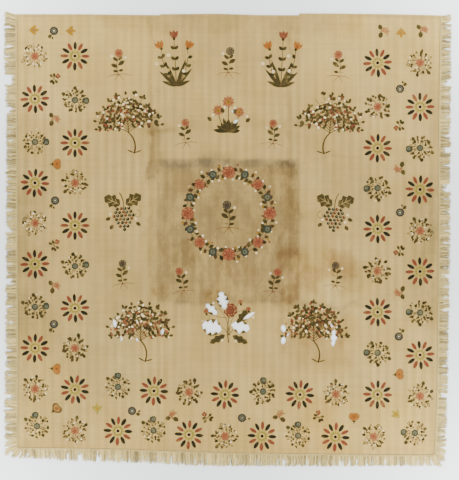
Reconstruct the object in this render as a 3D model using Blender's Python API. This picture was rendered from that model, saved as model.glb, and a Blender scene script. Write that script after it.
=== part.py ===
"""Stenciled coverlet, lying flat and face up.

Three loom widths of striped cotton are seamed side by side and hemmed across the top. A yarn fringe runs
down both sides and along the foot. +Y points to the hemmed top edge, +X to the right-hand side, and the
cloth rests on Z = 0. Two old folds and the two seams stand a little proud of the surface.
"""

import math
import random

import bmesh
import bpy

# Overall size over the fringe, in metres.
OVERALL_WIDTH = 2.236
OVERALL_LENGTH = 2.268

CLOTH_THICKNESS = 0.0012
HEM_THICKNESS = 0.0024
HEM_DEPTH = 0.011
HEM_FALL = 0.002
YARN_THICKNESS = 0.0022
HEADING_WIDTH = 0.008
PIECE_GAP = 0.0003

SEAM_LEFT_X = -0.338
SEAM_RIGHT_X = 0.3595

GRID_STEP = 0.16
NEAR = 0.045
TINY = 0.004
FOLD_STATIONS = (-1.0, -0.5, 0.0, 0.5, 1.0)

# Where the cloth's two long edges lie at a few heights up the coverlet.
SIDE_EDGES = (
    # (y, left_x, right_x)
    (1.126, -1.0555, 1.0670),
    (0.800, -1.0560, 1.0620),
    (0.400, -1.0530, 1.0570),
    (0.000, -1.0535, 1.0580),
    (-0.400, -1.0520, 1.0550),
    (-0.800, -1.0510, 1.0480),
    (-1.080, -1.0500, 1.0360),
)

# The hemmed edge and the foot of each loom width. At the hem the widths step past each other at the seams.
END_EDGES = {
    "panel_left": (
        # (x, top_y, foot_y)
        (-1.0560, 1.1255, -1.0435),
        (-0.7400, 1.1250, -1.0470),
        (-0.5000, 1.1220, -1.0530),
        (-0.3380, 1.1200, -1.0590),
    ),
    "panel_centre": (
        (-0.3380, 1.1245, -1.0590),
        (-0.0600, 1.1275, -1.0680),
        (0.1600, 1.1205, -1.0725),
        (0.3595, 1.1200, -1.0750),
    ),
    "panel_right": (
        (0.3595, 1.1290, -1.0750),
        (0.5600, 1.1285, -1.0770),
        (0.8300, 1.1250, -1.0800),
        (1.0670, 1.1190, -1.0810),
    ),
}

# Old folds and seams that lift the cloth off the surface. A fold "across" runs along X at height y.
FOLDS = (
    # (direction, place, height, half_width, start, end)
    ("across", 0.5865, 0.0014, 0.040, -0.980, 0.980),
    ("across", 0.3965, 0.0024, 0.045, -0.980, 0.980),
    ("across", -0.3135, 0.0022, 0.045, -0.980, 0.980),
    ("down", SEAM_LEFT_X, 0.0016, 0.035, -0.980, 1.060),
    ("down", SEAM_RIGHT_X, 0.0016, 0.035, -0.980, 1.060),
)
FOLD_FADE = 0.090

# Losses eaten through the cloth, each the shape of a stenciled leaf. Lean is from +Y, anticlockwise.
LOSSES = (
    # (panel, x, y, length, width, lean_degrees, teeth)
    ("panel_centre", -0.024, -0.306, 0.092, 0.060, 14.0, 4),
    ("panel_centre", -0.080, -0.350, 0.080, 0.044, 46.0, 3),
    ("panel_centre", -0.078, -0.440, 0.104, 0.088, 74.0, 4),
    ("panel_centre", 0.064, -0.438, 0.098, 0.066, -104.0, 3),
    ("panel_centre", 0.108, -0.382, 0.070, 0.018, -58.0, 1),
    ("panel_centre", 0.279, -0.446, 0.040, 0.025, 14.0, 1),
    ("panel_centre", 0.279, -0.506, 0.042, 0.025, -10.0, 1),
    ("panel_right", 0.530, -0.494, 0.088, 0.036, -4.0, 3),
    ("panel_left", -0.564, -0.420, 0.044, 0.019, 10.0, 1),
    ("panel_centre", -0.326, -0.462, 0.036, 0.016, -15.0, 1),
    ("panel_centre", 0.042, 0.590, 0.030, 0.016, -50.0, 1),
)
LEAF_SIDE_POINTS = 6
TOOTH_LIFT = 0.10
# How far each tooth in turn reaches, and how far in the notch below it goes, as shares of the half width.
TEETH = (
    # (tooth_reach, notch_reach)
    (0.96, 0.46),
    (1.12, 0.56),
    (0.88, 0.40),
    (1.04, 0.52),
)
CUTTER_REACH = 0.02

# How far each fringe's tips stay inside the overall size, along its own edge.
FRINGES = {
    "fringe_left": (
        # (y, short_of_overall)
        (1.130, 0.0000),
        (0.950, 0.0010),
        (0.820, 0.0120),
        (0.480, 0.0180),
        (0.000, 0.0160),
        (-0.600, 0.0140),
        (-0.880, 0.0060),
        (-1.050, 0.0160),
    ),
    "fringe_right": (
        (1.130, 0.0020),
        (0.980, 0.0000),
        (0.600, 0.0080),
        (0.000, 0.0100),
        (-0.350, 0.0170),
        (-0.750, 0.0230),
        (-1.080, 0.0350),
    ),
    "fringe_foot": (
        # (x, short_of_overall)
        (-1.050, 0.0490),
        (-0.750, 0.0340),
        (-0.330, 0.0220),
        (-0.080, 0.0020),
        (0.500, 0.0000),
        (1.036, 0.0040),
    ),
}

# Wider gaps where yarn is worn away: the place along the edge, and the share of the length that is left.
WORN_PLACES = {
    "fringe_left": ((0.800, 0.30), (0.636, 0.45), (0.062, 0.50), (-0.205, 0.40), (-0.790, 0.35)),
    "fringe_right": ((0.785, 0.45), (0.455, 0.40), (0.250, 0.40), (-0.190, 0.35), (-0.775, 0.30)),
    "fringe_foot": ((-0.727, 0.35), (-0.645, 0.45), (-0.130, 0.60), (0.570, 0.60)),
}
WORN_REACH = 0.011

# A clump of yarn: its width, how far its length may fall short, how far each side draws in towards the
# tips as a share of its width, and the share of that by which the tips may sway without meeting a neighbour.
CLUMP_WIDTH = (0.016, 0.029)
CLUMP_SHORTFALL = 0.10
CLUMP_TAPER = (0.09, 0.24)
CLUMP_SWAY = 0.85
CORNER_REACH = 0.070
CORNER_LEAN = math.radians(38.0)
HEM_CORNER_LEAN = math.radians(14.0)
FRINGE_SEED = 1832

COTTON = {"name": "cream_cotton", "colour": (0.60, 0.48, 0.29, 1.0), "roughness": 0.92}
YARN = {"name": "cotton_yarn", "colour": (0.64, 0.57, 0.40, 1.0), "roughness": 0.95}


def clear_scene():
    for obj in list(bpy.data.objects):
        bpy.data.objects.remove(obj, do_unlink=True)


def make_material(finish):
    material = bpy.data.materials.new(finish["name"])
    material.use_nodes = True
    shader = material.node_tree.nodes["Principled BSDF"]
    shader.inputs["Base Color"].default_value = finish["colour"]
    shader.inputs["Roughness"].default_value = finish["roughness"]
    shader.inputs["Metallic"].default_value = 0.0
    material.diffuse_color = finish["colour"]
    return material


def read_table(rows, place, column):
    """The value in a column at a place, running straight between the table's rows."""
    rows = sorted(set(rows))
    if place <= rows[0][0]:
        return rows[0][column]
    for low, high in zip(rows, rows[1:]):
        if low[0] < place <= high[0]:
            share = (place - low[0]) / (high[0] - low[0])
            return low[column] + share * (high[column] - low[column])
    return rows[-1][column]


def smooth(share):
    share = min(1.0, max(0.0, share))
    return share * share * (3.0 - 2.0 * share)


def lift(x, y):
    """How far the cloth stands off the surface here, because of its folds and seams."""
    most = 0.0
    for direction, place, height, half_width, start, end in FOLDS:
        off, along = (y - place, x) if direction == "across" else (x - place, y)
        ends = smooth((along - start) / FOLD_FADE) * smooth((end - along) / FOLD_FADE)
        most = max(most, height * smooth(1.0 - abs(off) / half_width) * ends)
    return most


def stations(start, end, direction, bends):
    """Grid lines from start to end: evenly spaced ones, those where an edge bends, and some over each fold."""
    count = max(1, round((end - start) / GRID_STEP))
    lines = [start + (end - start) * i / count for i in range(1, count)]
    inner = [bend for bend in bends if start + NEAR < bend < end - NEAR]
    lines = [line for line in lines if all(abs(line - bend) > NEAR for bend in inner)] + inner
    for fold_direction, place, _, half_width, _, _ in FOLDS:
        if fold_direction != direction:
            continue
        near = [place + share * half_width for share in FOLD_STATIONS]
        lines = [line for line in lines if not near[0] < line < near[-1]]
        lines += [line for line in near if start + TINY < line < end - TINY]
    return [start, *sorted(lines), end]


def close_sheet(name, grid, heights, material):
    """A closed sheet over a grid of (x, y, floor z) with its own thickness at each grid row."""
    shape = bmesh.new()
    upper, lower = [], []
    for row, thickness in zip(grid, heights):
        lower.append([shape.verts.new(point) for point in row])
        upper.append([shape.verts.new((x, y, z + thickness)) for x, y, z in row])
    rows, columns = len(grid), len(grid[0])
    for i in range(rows - 1):
        for j in range(columns - 1):
            corners = ((i, j), (i, j + 1), (i + 1, j + 1), (i + 1, j))
            shape.faces.new([upper[a][b] for a, b in corners])
            shape.faces.new([lower[a][b] for a, b in reversed(corners)])
    rim = [(0, j) for j in range(columns)] + [(i, columns - 1) for i in range(1, rows)]
    rim += [(rows - 1, j) for j in range(columns - 2, -1, -1)] + [(i, 0) for i in range(rows - 2, 0, -1)]
    for (a, b), (c, d) in zip(rim, rim[1:] + rim[:1]):
        shape.faces.new((lower[a][b], lower[c][d], upper[c][d], upper[a][b]))
    bmesh.ops.recalc_face_normals(shape, faces=shape.faces)
    bmesh.ops.triangulate(shape, faces=shape.faces)
    mesh = bpy.data.meshes.new(name)
    shape.to_mesh(mesh)
    shape.free()
    mesh.materials.append(material)
    panel = bpy.data.objects.new(name, mesh)
    bpy.context.scene.collection.objects.link(panel)
    return panel


def make_panel(name, left_x, right_x, material):
    """One loom width. Its outer side follows the coverlet's uneven edge."""
    ends = END_EDGES[name]
    columns = stations(left_x, right_x, "down", [row[0] for row in ends])
    foot_row = max(row[2] for row in ends)
    top_row = min(row[1] for row in ends) - HEM_DEPTH - HEM_FALL
    rows = stations(foot_row, top_row, "across", [row[0] for row in SIDE_EDGES])

    def place(x, y):
        if name == "panel_left" and x == columns[0]:
            x = read_table(SIDE_EDGES, y, 1)
        if name == "panel_right" and x == columns[-1]:
            x = read_table(SIDE_EDGES, y, 2)
        return (x, y, lift(x, y))

    grid = [[place(x, read_table(ends, x, 2)) for x in columns]]
    grid += [[place(x, y) for x in columns] for y in rows[1:-1]]
    heights = [CLOTH_THICKNESS] * len(grid)
    hem_lines = (
        (HEM_DEPTH + HEM_FALL, CLOTH_THICKNESS),
        (HEM_DEPTH, HEM_THICKNESS),
        (0.0, HEM_THICKNESS),
    )
    for depth, thickness in hem_lines:
        grid.append([place(x, read_table(ends, x, 1) - depth) for x in columns])
        heights.append(thickness)
    return close_sheet(name, grid, heights, material)


def leaf_outline(x, y, length, width, lean, teeth):
    """A pointed leaf about its middle. Teeth notch both its sides; one is a plain leaf."""
    count = LEAF_SIDE_POINTS if teeth == 1 else 2 * teeth
    sides = []
    for first in (0, 1):
        side = []
        for i in range(1, count):
            share = i / count
            lift, reach = 0.0, 1.0
            if teeth > 1:
                number = (i // 2 + first) % len(TEETH)
                lift, reach = (TOOTH_LIFT, TEETH[number][0]) if i % 2 else (0.0, TEETH[number][1])
            half = 0.5 * width * math.sin(math.pi * share) ** 0.7 * reach
            side.append((half, (share - 0.5 + lift / teeth) * length))
        sides.append(side)
    right, left = sides
    points = [(0.0, -0.5 * length)] + right + [(0.0, 0.5 * length)] + [(-across, along) for across, along in left[::-1]]
    turn = math.radians(lean)
    return [
        (x + across * math.cos(turn) - along * math.sin(turn), y + across * math.sin(turn) + along * math.cos(turn))
        for across, along in points
    ]


def cut_losses(panels):
    """Cuts each leaf-shaped loss right through its panel."""
    for number, (panel_name, *leaf) in enumerate(LOSSES):
        shape = bmesh.new()
        face = shape.faces.new([shape.verts.new((x, y, -CUTTER_REACH)) for x, y in leaf_outline(*leaf)])
        raised = bmesh.ops.extrude_face_region(shape, geom=[face])["geom"]
        for vert in (v for v in raised if isinstance(v, bmesh.types.BMVert)):
            vert.co.z = CUTTER_REACH
        bmesh.ops.recalc_face_normals(shape, faces=shape.faces)
        mesh = bpy.data.meshes.new(f"loss_{number}")
        shape.to_mesh(mesh)
        shape.free()
        cutter = bpy.data.objects.new(f"loss_{number}", mesh)
        cutter.hide_render = True
        cutter.display_type = "WIRE"
        bpy.context.scene.collection.objects.link(cutter)
        cut = panels[panel_name].modifiers.new(f"loss_{number}", "BOOLEAN")
        cut.operation = "DIFFERENCE"
        cut.object = cutter


def edge_point(name, along):
    """(root x, root y, outward x, outward y, full length) of a fringe at a place along its edge."""
    short = read_table(FRINGES[name], along, 1)
    if name == "fringe_foot":
        root = read_table([row for rows in END_EDGES.values() for row in rows], along, 2)
        return along, root - PIECE_GAP, 0.0, -1.0, root + 0.5 * OVERALL_LENGTH - short
    column, outward = (1, -1.0) if name == "fringe_left" else (2, 1.0)
    root = read_table(SIDE_EDGES, along, column)
    return root + outward * PIECE_GAP, along, outward, 0.0, 0.5 * OVERALL_WIDTH - short - abs(root)


def clump_places(name, start, end):
    """The clumps along an edge, from start to end: (from, to, share of full length, sway, half tip width)."""
    chance = random.Random(f"{FRINGE_SEED} {name}")
    places, here = [], start
    while end - here > CLUMP_WIDTH[0]:
        step = chance.uniform(*CLUMP_WIDTH)
        there = end if end - here - step < CLUMP_WIDTH[0] else here + step
        middle = 0.5 * (here + there)
        share = 1.0 - CLUMP_SHORTFALL * chance.random() ** 2
        for worn, left in WORN_PLACES[name]:
            if abs(middle - worn) < WORN_REACH:
                share = left
        drawn_in = chance.uniform(*CLUMP_TAPER) * (there - here)
        sway = chance.uniform(-CLUMP_SWAY, CLUMP_SWAY) * drawn_in
        places.append((here, there, share, sway, 0.5 * (there - here) - drawn_in))
        here = there
    return places


def corner_lean(name, middle, start, end):
    """The sideways push of a clump's tips, as a tangent: fanned out near the ends of the edge."""
    low = HEM_CORNER_LEAN if name != "fringe_foot" else CORNER_LEAN
    first, last = (CORNER_LEAN, low) if name != "fringe_foot" else (CORNER_LEAN, CORNER_LEAN)
    near_start = smooth(1.0 - (middle - start) / CORNER_REACH)
    near_end = smooth(1.0 - (end - middle) / CORNER_REACH)
    return math.tan(last) * near_end - math.tan(first) * near_start


def make_fringe(name, start, end, material):
    """One comb: a heading strip along the cloth's edge, and a tapered tongue for each clump of yarn."""
    places = clump_places(name, start, end)
    shape = bmesh.new()

    def pair(x, y):
        return shape.verts.new((x, y, 0.0)), shape.verts.new((x, y, YARN_THICKNESS))

    def root_and_heading(along):
        x, y, out_x, out_y, _ = edge_point(name, along)
        return pair(x, y), pair(x + out_x * HEADING_WIDTH, y + out_y * HEADING_WIDTH)

    def wall(one, two):
        shape.faces.new((one[0], two[0], two[1], one[1]))

    def slab(a, b, c, d):
        shape.faces.new((a[0], b[0], c[0], d[0]))
        shape.faces.new((a[1], b[1], c[1], d[1]))

    here = root_and_heading(places[0][0])
    wall(*here)
    for low, high, share, sway, half_tip in places:
        there = root_and_heading(high)
        middle = 0.5 * (low + high)
        x, y, out_x, out_y, reach = edge_point(name, middle)
        shift = sway + corner_lean(name, middle, start, end) * reach * share
        tips = []
        for side in (-1.0, 1.0):
            across = shift + side * half_tip
            length = reach * share - max(0.0, side * sway)
            tips.append(pair(x + out_x * length + abs(out_y) * across, y + out_y * length + abs(out_x) * across))
        slab(here[0], there[0], there[1], here[1])
        slab(here[1], there[1], tips[1], tips[0])
        wall(here[0], there[0])
        wall(here[1], tips[0])
        wall(tips[0], tips[1])
        wall(tips[1], there[1])
        here = there
    wall(*here)
    bmesh.ops.recalc_face_normals(shape, faces=shape.faces)
    mesh = bpy.data.meshes.new(name)
    shape.to_mesh(mesh)
    shape.free()
    mesh.materials.append(material)
    comb = bpy.data.objects.new(name, mesh)
    bpy.context.scene.collection.objects.link(comb)
    return comb


def centre(pieces):
    """Moves every piece alike, so that the whole is centred over the origin."""
    for axis in (0, 1):
        places = [vert.co[axis] for piece in pieces for vert in piece.data.vertices]
        middle = 0.5 * (min(places) + max(places))
        for piece in pieces:
            for vert in piece.data.vertices:
                vert.co[axis] -= middle


def main():
    clear_scene()
    cotton = make_material(COTTON)
    yarn = make_material(YARN)
    half_gap = 0.5 * PIECE_GAP
    spans = {
        "panel_left": (SIDE_EDGES[0][1], SEAM_LEFT_X - half_gap),
        "panel_centre": (SEAM_LEFT_X + half_gap, SEAM_RIGHT_X - half_gap),
        "panel_right": (SEAM_RIGHT_X + half_gap, SIDE_EDGES[0][2]),
    }
    panels = {name: make_panel(name, left_x, right_x, cotton) for name, (left_x, right_x) in spans.items()}
    left_foot = END_EDGES["panel_left"][0][2]
    right_foot = END_EDGES["panel_right"][-1][2]
    foot_ends = (SIDE_EDGES[-1][1] + PIECE_GAP, SIDE_EDGES[-1][2] - PIECE_GAP)
    combs = [
        make_fringe("fringe_left", left_foot, END_EDGES["panel_left"][0][1], yarn),
        make_fringe("fringe_right", right_foot, END_EDGES["panel_right"][-1][1], yarn),
        make_fringe("fringe_foot", *foot_ends, yarn),
    ]
    centre([*panels.values(), *combs])
    cut_losses(panels)


main()
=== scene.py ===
"""Stenciled coverlet: cloth, print, stitches and fringe, laid flat and seen from straight above.

Every length is in metres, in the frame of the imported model: +Z up out of the printed face, +Y towards the
hemmed top edge, +X towards the right-hand fringe. The cloth lies on Z = 0. Three striped loom widths are
sewn side by side. Each coat of stencil paint is a thin closed film that is pressed onto the cloth.
"""

import logging
import math
import random
from collections import Counter, defaultdict
from dataclasses import dataclass, field
from enum import Enum

import bmesh
import bpy
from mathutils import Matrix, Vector, noise
from mathutils.geometry import delaunay_2d_cdt


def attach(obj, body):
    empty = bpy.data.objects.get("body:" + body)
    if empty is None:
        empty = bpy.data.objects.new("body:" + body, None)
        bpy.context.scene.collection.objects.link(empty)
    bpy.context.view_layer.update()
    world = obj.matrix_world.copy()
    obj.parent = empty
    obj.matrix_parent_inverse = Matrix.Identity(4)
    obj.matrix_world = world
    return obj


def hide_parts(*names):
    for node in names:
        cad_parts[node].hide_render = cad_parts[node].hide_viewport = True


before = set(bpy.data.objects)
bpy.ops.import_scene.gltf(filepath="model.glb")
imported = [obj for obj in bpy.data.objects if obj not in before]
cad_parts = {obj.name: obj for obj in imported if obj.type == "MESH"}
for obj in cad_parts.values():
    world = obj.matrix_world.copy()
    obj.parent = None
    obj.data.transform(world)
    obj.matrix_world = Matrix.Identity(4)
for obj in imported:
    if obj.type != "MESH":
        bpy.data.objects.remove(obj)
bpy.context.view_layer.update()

LOG = logging.getLogger("coverlet")
BODY = "root"
BAKE_MAP = "OFBake"

Point = tuple[float, float]
Outline = list[Point]
Colour = tuple[float, float, float]
Socket = bpy.types.NodeSocket
Node = bpy.types.Node
Tree = bpy.types.NodeTree
Mesh = bpy.types.Mesh
Piece = bpy.types.Object
Material = bpy.types.Material
TAU = math.tau
GOLDEN_ANGLE = 137.5


# Small tools.


def smooth(share: float) -> float:
    """Eases a share from 0 to 1."""
    share = min(1.0, max(0.0, share))
    return share * share * (3.0 - 2.0 * share)


def read_table(rows: tuple, place: float, column: int) -> float:
    """Reads a column of a table at a place, running straight between its rows.

    Args:
        rows: Rows of numbers, the first of each its place.
        place: Where to read.
        column: Which column to read.

    Returns:
        The value there, or the nearest end row's value outside the table.
    """
    ordered = sorted(set(rows))
    if place <= ordered[0][0]:
        return ordered[0][column]
    for low, high in zip(ordered, ordered[1:]):
        if low[0] < place <= high[0]:
            share = (place - low[0]) / (high[0] - low[0])
            return low[column] + share * (high[column] - low[column])
    return ordered[-1][column]


def steps(start: float, end: float, pitch: float) -> list[float]:
    """Evenly spaced places from start to end, both included, about a pitch apart."""
    count = max(1, round(abs(end - start) / pitch))
    return [start + (end - start) * i / count for i in range(count + 1)]


def placed(outline: Outline, x: float = 0.0, y: float = 0.0, turn: float = 0.0, size: float = 1.0) -> Outline:
    """Moves an outline.

    Args:
        outline: The points to move.
        x: How far right its origin goes.
        y: How far up its origin goes.
        turn: Degrees anticlockwise about its origin.
        size: Its scale about its origin.

    Returns:
        The moved points.
    """
    cos, sin = math.cos(math.radians(turn)) * size, math.sin(math.radians(turn)) * size
    return [(x + a * cos - b * sin, y + a * sin + b * cos) for a, b in outline]


def add_object(name: str, mesh: Mesh) -> Piece:
    """Links a new object with this mesh, at the origin.

    Args:
        name: Its name.
        mesh: Its mesh.

    Returns:
        The object.
    """
    piece = bpy.data.objects.new(name, mesh)
    bpy.context.scene.collection.objects.link(piece)
    return piece


def finish_piece(piece: Piece, replaces: str | None = None) -> None:
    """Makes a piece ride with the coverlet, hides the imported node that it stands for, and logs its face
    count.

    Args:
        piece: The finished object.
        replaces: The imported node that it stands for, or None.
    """
    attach(piece, BODY)
    if replaces:
        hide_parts(replaces)
    LOG.info("%s: %d faces", piece.name, len(piece.data.polygons))


def add_bake_map(mesh: Mesh) -> None:
    """Lays out the map that colours are baked through: upper side on the left half, the rest on the right.

    Args:
        mesh: A finished mesh that lies flat.
    """
    places = [vertex.co for vertex in mesh.vertices]
    low = (min(p.x for p in places), min(p.y for p in places))
    span = (max(p.x for p in places) - low[0], max(p.y for p in places) - low[1])
    layer = mesh.uv_layers.new(name=BAKE_MAP)
    for face in mesh.polygons:
        column = 0.0 if face.normal.z > 0.0 else 0.505
        for loop in face.loop_indices:
            spot = places[mesh.loops[loop].vertex_index]
            across, along = (spot.x - low[0]) / span[0], (spot.y - low[1]) / span[1]
            layer.uv[loop].vector = (column + 0.49 * across + 0.002, 0.004 + 0.992 * along)


# Node trees.


class Nodes:
    """A node tree that is being written, for a material, a group or Geometry Nodes."""

    def __init__(self, tree: Tree) -> None:
        """Keeps the tree that nodes are added to, and its named inputs once it has some."""
        self.tree = tree
        self.given: bpy.types.NodeOutputs | None = None

    def feed(self, socket: Socket, value: object) -> None:
        """Puts a value into an input, or links the socket that feeds it.

        Args:
            socket: The input.
            value: A plain value or another node's socket.
        """
        if isinstance(value, Socket):
            self.tree.links.new(value, socket)
        else:
            socket.default_value = value

    def add(self, kind: str, inputs: dict | None = None, **settings: object) -> Node:
        """Adds a node.

        Args:
            kind: Blender's name for the kind of node.
            inputs: For each input's name or number, a value or the socket that feeds it.
            **settings: The node's own settings.

        Returns:
            The new node.
        """
        node = self.tree.nodes.new(kind)
        for key, value in settings.items():
            setattr(node, key, value)
        for key, value in (inputs or {}).items():
            self.feed(node.inputs[key], value)
        return node

    def make(self, kind: str, inputs: dict | None = None, **settings: object) -> Socket:
        """Adds a node as add does, and returns its first output."""
        return self.add(kind, inputs, **settings).outputs[0]

    def math(self, operation: str, a: Socket | float, b: Socket | float = 0.0, clamp: bool = False) -> Socket:
        """The result of one sum on two numbers."""
        return self.make("ShaderNodeMath", {0: a, 1: b}, operation=operation, use_clamp=clamp)

    def times(self, a: Socket | float, b: Socket | float) -> Socket:
        """Two numbers multiplied."""
        return self.math("MULTIPLY", a, b)

    def vector(self, operation: str, a: Socket, b: Socket | float | Colour) -> Socket:
        """The result of one sum on a vector and another vector, or a number where it is scaled."""
        second = "Scale" if operation == "SCALE" else 1
        return self.make("ShaderNodeVectorMath", {0: a, second: b}, operation=operation)

    def ease(self, value: Socket, low: float, high: float, to: tuple[float, float] = (0.0, 1.0)) -> Socket:
        """A number eased from one range to another."""
        inputs = {"Value": value, "From Min": low, "From Max": high, "To Min": to[0], "To Max": to[1]}
        return self.make("ShaderNodeMapRange", inputs, interpolation_type="SMOOTHSTEP")

    def blend(self, factor: Socket | float, a: Socket | Colour, b: Socket | Colour,
              mode: str = "MIX") -> Socket:
        """Two colours blended.

        Args:
            factor: The share of the second colour.
            a: The first colour.
            b: The second colour.
            mode: How they blend.

        Returns:
            The blended colour's socket.
        """
        node = self.add("ShaderNodeMix", {0: factor}, data_type="RGBA", blend_type=mode)
        for socket, value in ((node.inputs[6], a), (node.inputs[7], b)):
            self.feed(socket, value if isinstance(value, Socket) else (*value, 1.0))
        return node.outputs[2]

    def shaded(self, colour: Colour, tone: Socket) -> Socket:
        """A colour multiplied by a tone."""
        grey = self.make("ShaderNodeCombineColor", {0: tone, 1: tone, 2: tone})
        return self.blend(1.0, colour, grey, "MULTIPLY")

    def noise(self, place: Socket, scale: float, detail: float = 3.0, roughness: float = 0.5) -> Socket:
        """A grey noise texture over a place."""
        inputs = {"Vector": place, "Scale": scale, "Detail": detail, "Roughness": roughness}
        return self.make("ShaderNodeTexNoise", inputs)

    def grain(self, place: Socket, scale: tuple[float, float], detail: float, roughness: float) -> Socket:
        """A grey noise that runs finer along one axis than along the other."""
        stretched = self.make("ShaderNodeMapping", {"Vector": place, "Scale": (*scale, 1.0)})
        return self.noise(stretched, 1.0, detail, roughness)

    def place(self) -> Socket:
        """The place on the object."""
        return self.add("ShaderNodeTexCoord").outputs["Object"]

    def split(self, vector: Socket) -> bpy.types.NodeOutputs:
        """A vector's X, Y and Z."""
        return self.add("ShaderNodeSeparateXYZ", {0: vector}).outputs

    def join(self, x: Socket | float, y: Socket | float, z: Socket | float) -> Socket:
        """The vector of three numbers."""
        return self.make("ShaderNodeCombineXYZ", {0: x, 1: y, 2: z})

    def result(self, socket: Socket) -> Tree:
        """Sends a socket to the group's output, and returns the finished tree."""
        self.add("NodeGroupOutput", {0: socket})
        return self.tree

    def realized(self, geometry: Socket, material: Socket) -> Tree:
        """Ends a Geometry Nodes tree: the instances made real, then their material."""
        real = self.make("GeometryNodeRealizeInstances", {0: geometry})
        return self.result(self.make("GeometryNodeSetMaterial", {0: real, "Material": material}))


def new_group(name: str, kind: str, inputs: tuple, output: tuple[str, str]) -> Nodes:
    """Starts a node group.

    Args:
        name: The group's name.
        kind: ShaderNodeTree or GeometryNodeTree.
        inputs: For each input, (name, kind of socket, starting value or None).
        output: The output's name and kind of socket.

    Returns:
        The tree being written, with its inputs given by name.
    """
    tree = bpy.data.node_groups.new(name, kind)
    for label, socket_kind, value in inputs:
        socket = tree.interface.new_socket(label, in_out="INPUT", socket_type=f"NodeSocket{socket_kind}")
        if value is not None:
            socket.default_value = value
    tree.interface.new_socket(output[0], in_out="OUTPUT", socket_type=f"NodeSocket{output[1]}")
    nodes = Nodes(tree)
    nodes.given = nodes.add("NodeGroupInput").outputs
    return nodes


def new_geometry_group(name: str, *inputs: tuple[str, str, object]) -> Nodes:
    """Starts a Geometry Nodes group that takes geometry, these named inputs and gives geometry."""
    shape = ("Geometry", "Geometry")
    return new_group(name, "GeometryNodeTree", ((*shape, None), *inputs), shape)


def run_nodes(base: Piece, tree: Tree, values: dict[str, object]) -> Mesh:
    """Runs Geometry Nodes on an object and keeps the result as a plain mesh.

    Args:
        base: The object whose mesh goes in. It is removed afterwards.
        tree: The Geometry Nodes tree.
        values: The tree's named inputs.

    Returns:
        The mesh that came out.
    """
    modifier = base.modifiers.new(tree.name, "NODES")
    modifier.node_group = tree
    for item in tree.interface.items_tree:
        if item.in_out == "INPUT" and item.name in values:
            modifier[item.identifier] = values[item.name]
    mesh = bpy.data.meshes.new_from_object(base.evaluated_get(bpy.context.evaluated_depsgraph_get()))
    base.modifiers.remove(modifier)
    bpy.data.objects.remove(base, do_unlink=True)
    return mesh


def to_mesh(shape: bmesh.types.BMesh, name: str) -> Mesh:
    """Keeps a shape that was being edited as a mesh.

    Args:
        shape: The shape. It is freed.
        name: The mesh's name.

    Returns:
        The mesh.
    """
    mesh = bpy.data.meshes.new(name)
    shape.to_mesh(mesh)
    shape.free()
    return mesh


def close_rings(shape: bmesh.types.BMesh, rings: list[list[bmesh.types.BMVert]]) -> None:
    """Joins rings of points in order and closes both ends, with every face outwards.

    Args:
        shape: The shape that the rings are in.
        rings: The rings, all of one length.
    """
    for one, two in zip(rings, rings[1:]):
        for i in range(len(one)):
            j = (i + 1) % len(one)
            shape.faces.new((one[i], one[j], two[j], two[i]))
    shape.faces.new(rings[0])
    shape.faces.new(rings[-1])
    bmesh.ops.recalc_face_normals(shape, faces=shape.faces)


# The coverlet's shape.


class Side(Enum):
    """The three loom widths, and the three fringed edges."""

    LEFT = "left"
    CENTRE = "centre"
    RIGHT = "right"
    FOOT = "foot"


@dataclass(frozen=True)
class Fold:
    """A fold or seam that lifts the cloth. Across runs along X at a height, and down runs along Y."""

    across: bool
    place: float
    height: float
    half_width: float
    start: float
    end: float

    def lift(self, x: float, y: float) -> float:
        """Finds how far this fold lifts the cloth.

        Args:
            x: How far right the point is.
            y: How far up the point is.

        Returns:
            The lift there.
        """
        off, along = (y - self.place, x) if self.across else (x - self.place, y)
        if abs(off) >= self.half_width:
            return 0.0
        ends = smooth((along - self.start) / FOLD_FADE) * smooth((self.end - along) / FOLD_FADE)
        return self.height * smooth(1.0 - abs(off) / self.half_width) * ends


OVERALL_WIDTH = 2.236
OVERALL_LENGTH = 2.268
SEAM_LEFT_X = -0.338
SEAM_RIGHT_X = 0.3595
PIECE_GAP = 0.0003
FOLD_FADE = 0.09
# (across, place, height, half width, start, end)
FOLDS = tuple(Fold(*row) for row in (
    (True, 0.5865, 0.0014, 0.04, -0.98, 0.98),
    (True, 0.3965, 0.0024, 0.045, -0.98, 0.98),
    (True, -0.3135, 0.0022, 0.045, -0.98, 0.98),
    (False, SEAM_LEFT_X, 0.0016, 0.035, -0.98, 1.06),
    (False, SEAM_RIGHT_X, 0.0016, 0.035, -0.98, 1.06),
))
SIDE_EDGES = (
    # (y, left_x, right_x)
    (1.126, -1.0555, 1.067),
    (0.8, -1.056, 1.062),
    (0.4, -1.053, 1.057),
    (0.0, -1.0535, 1.058),
    (-0.4, -1.052, 1.055),
    (-0.8, -1.051, 1.048),
    (-1.08, -1.05, 1.036),
)
END_EDGES = {
    Side.LEFT: (
        # (x, top_y, foot_y)
        (-1.056, 1.1255, -1.0435),
        (-0.74, 1.125, -1.047),
        (-0.5, 1.122, -1.053),
        (-0.338, 1.12, -1.059),
    ),
    Side.CENTRE: (
        (-0.338, 1.1245, -1.059),
        (-0.06, 1.1275, -1.068),
        (0.16, 1.1205, -1.0725),
        (0.3595, 1.12, -1.075),
    ),
    Side.RIGHT: (
        (0.3595, 1.129, -1.075),
        (0.56, 1.1285, -1.077),
        (0.83, 1.125, -1.08),
        (1.067, 1.119, -1.081),
    ),
}


def left_edge(y: float) -> float:
    """Where the cloth's left edge lies at a height."""
    return read_table(SIDE_EDGES, y, 1)


def right_edge(y: float) -> float:
    """Where the cloth's right edge lies at a height."""
    return read_table(SIDE_EDGES, y, 2)


def foot_edge(x: float) -> float:
    """Where the cloth's foot lies."""
    return read_table([row for rows in END_EDGES.values() for row in rows], x, 2)


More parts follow.
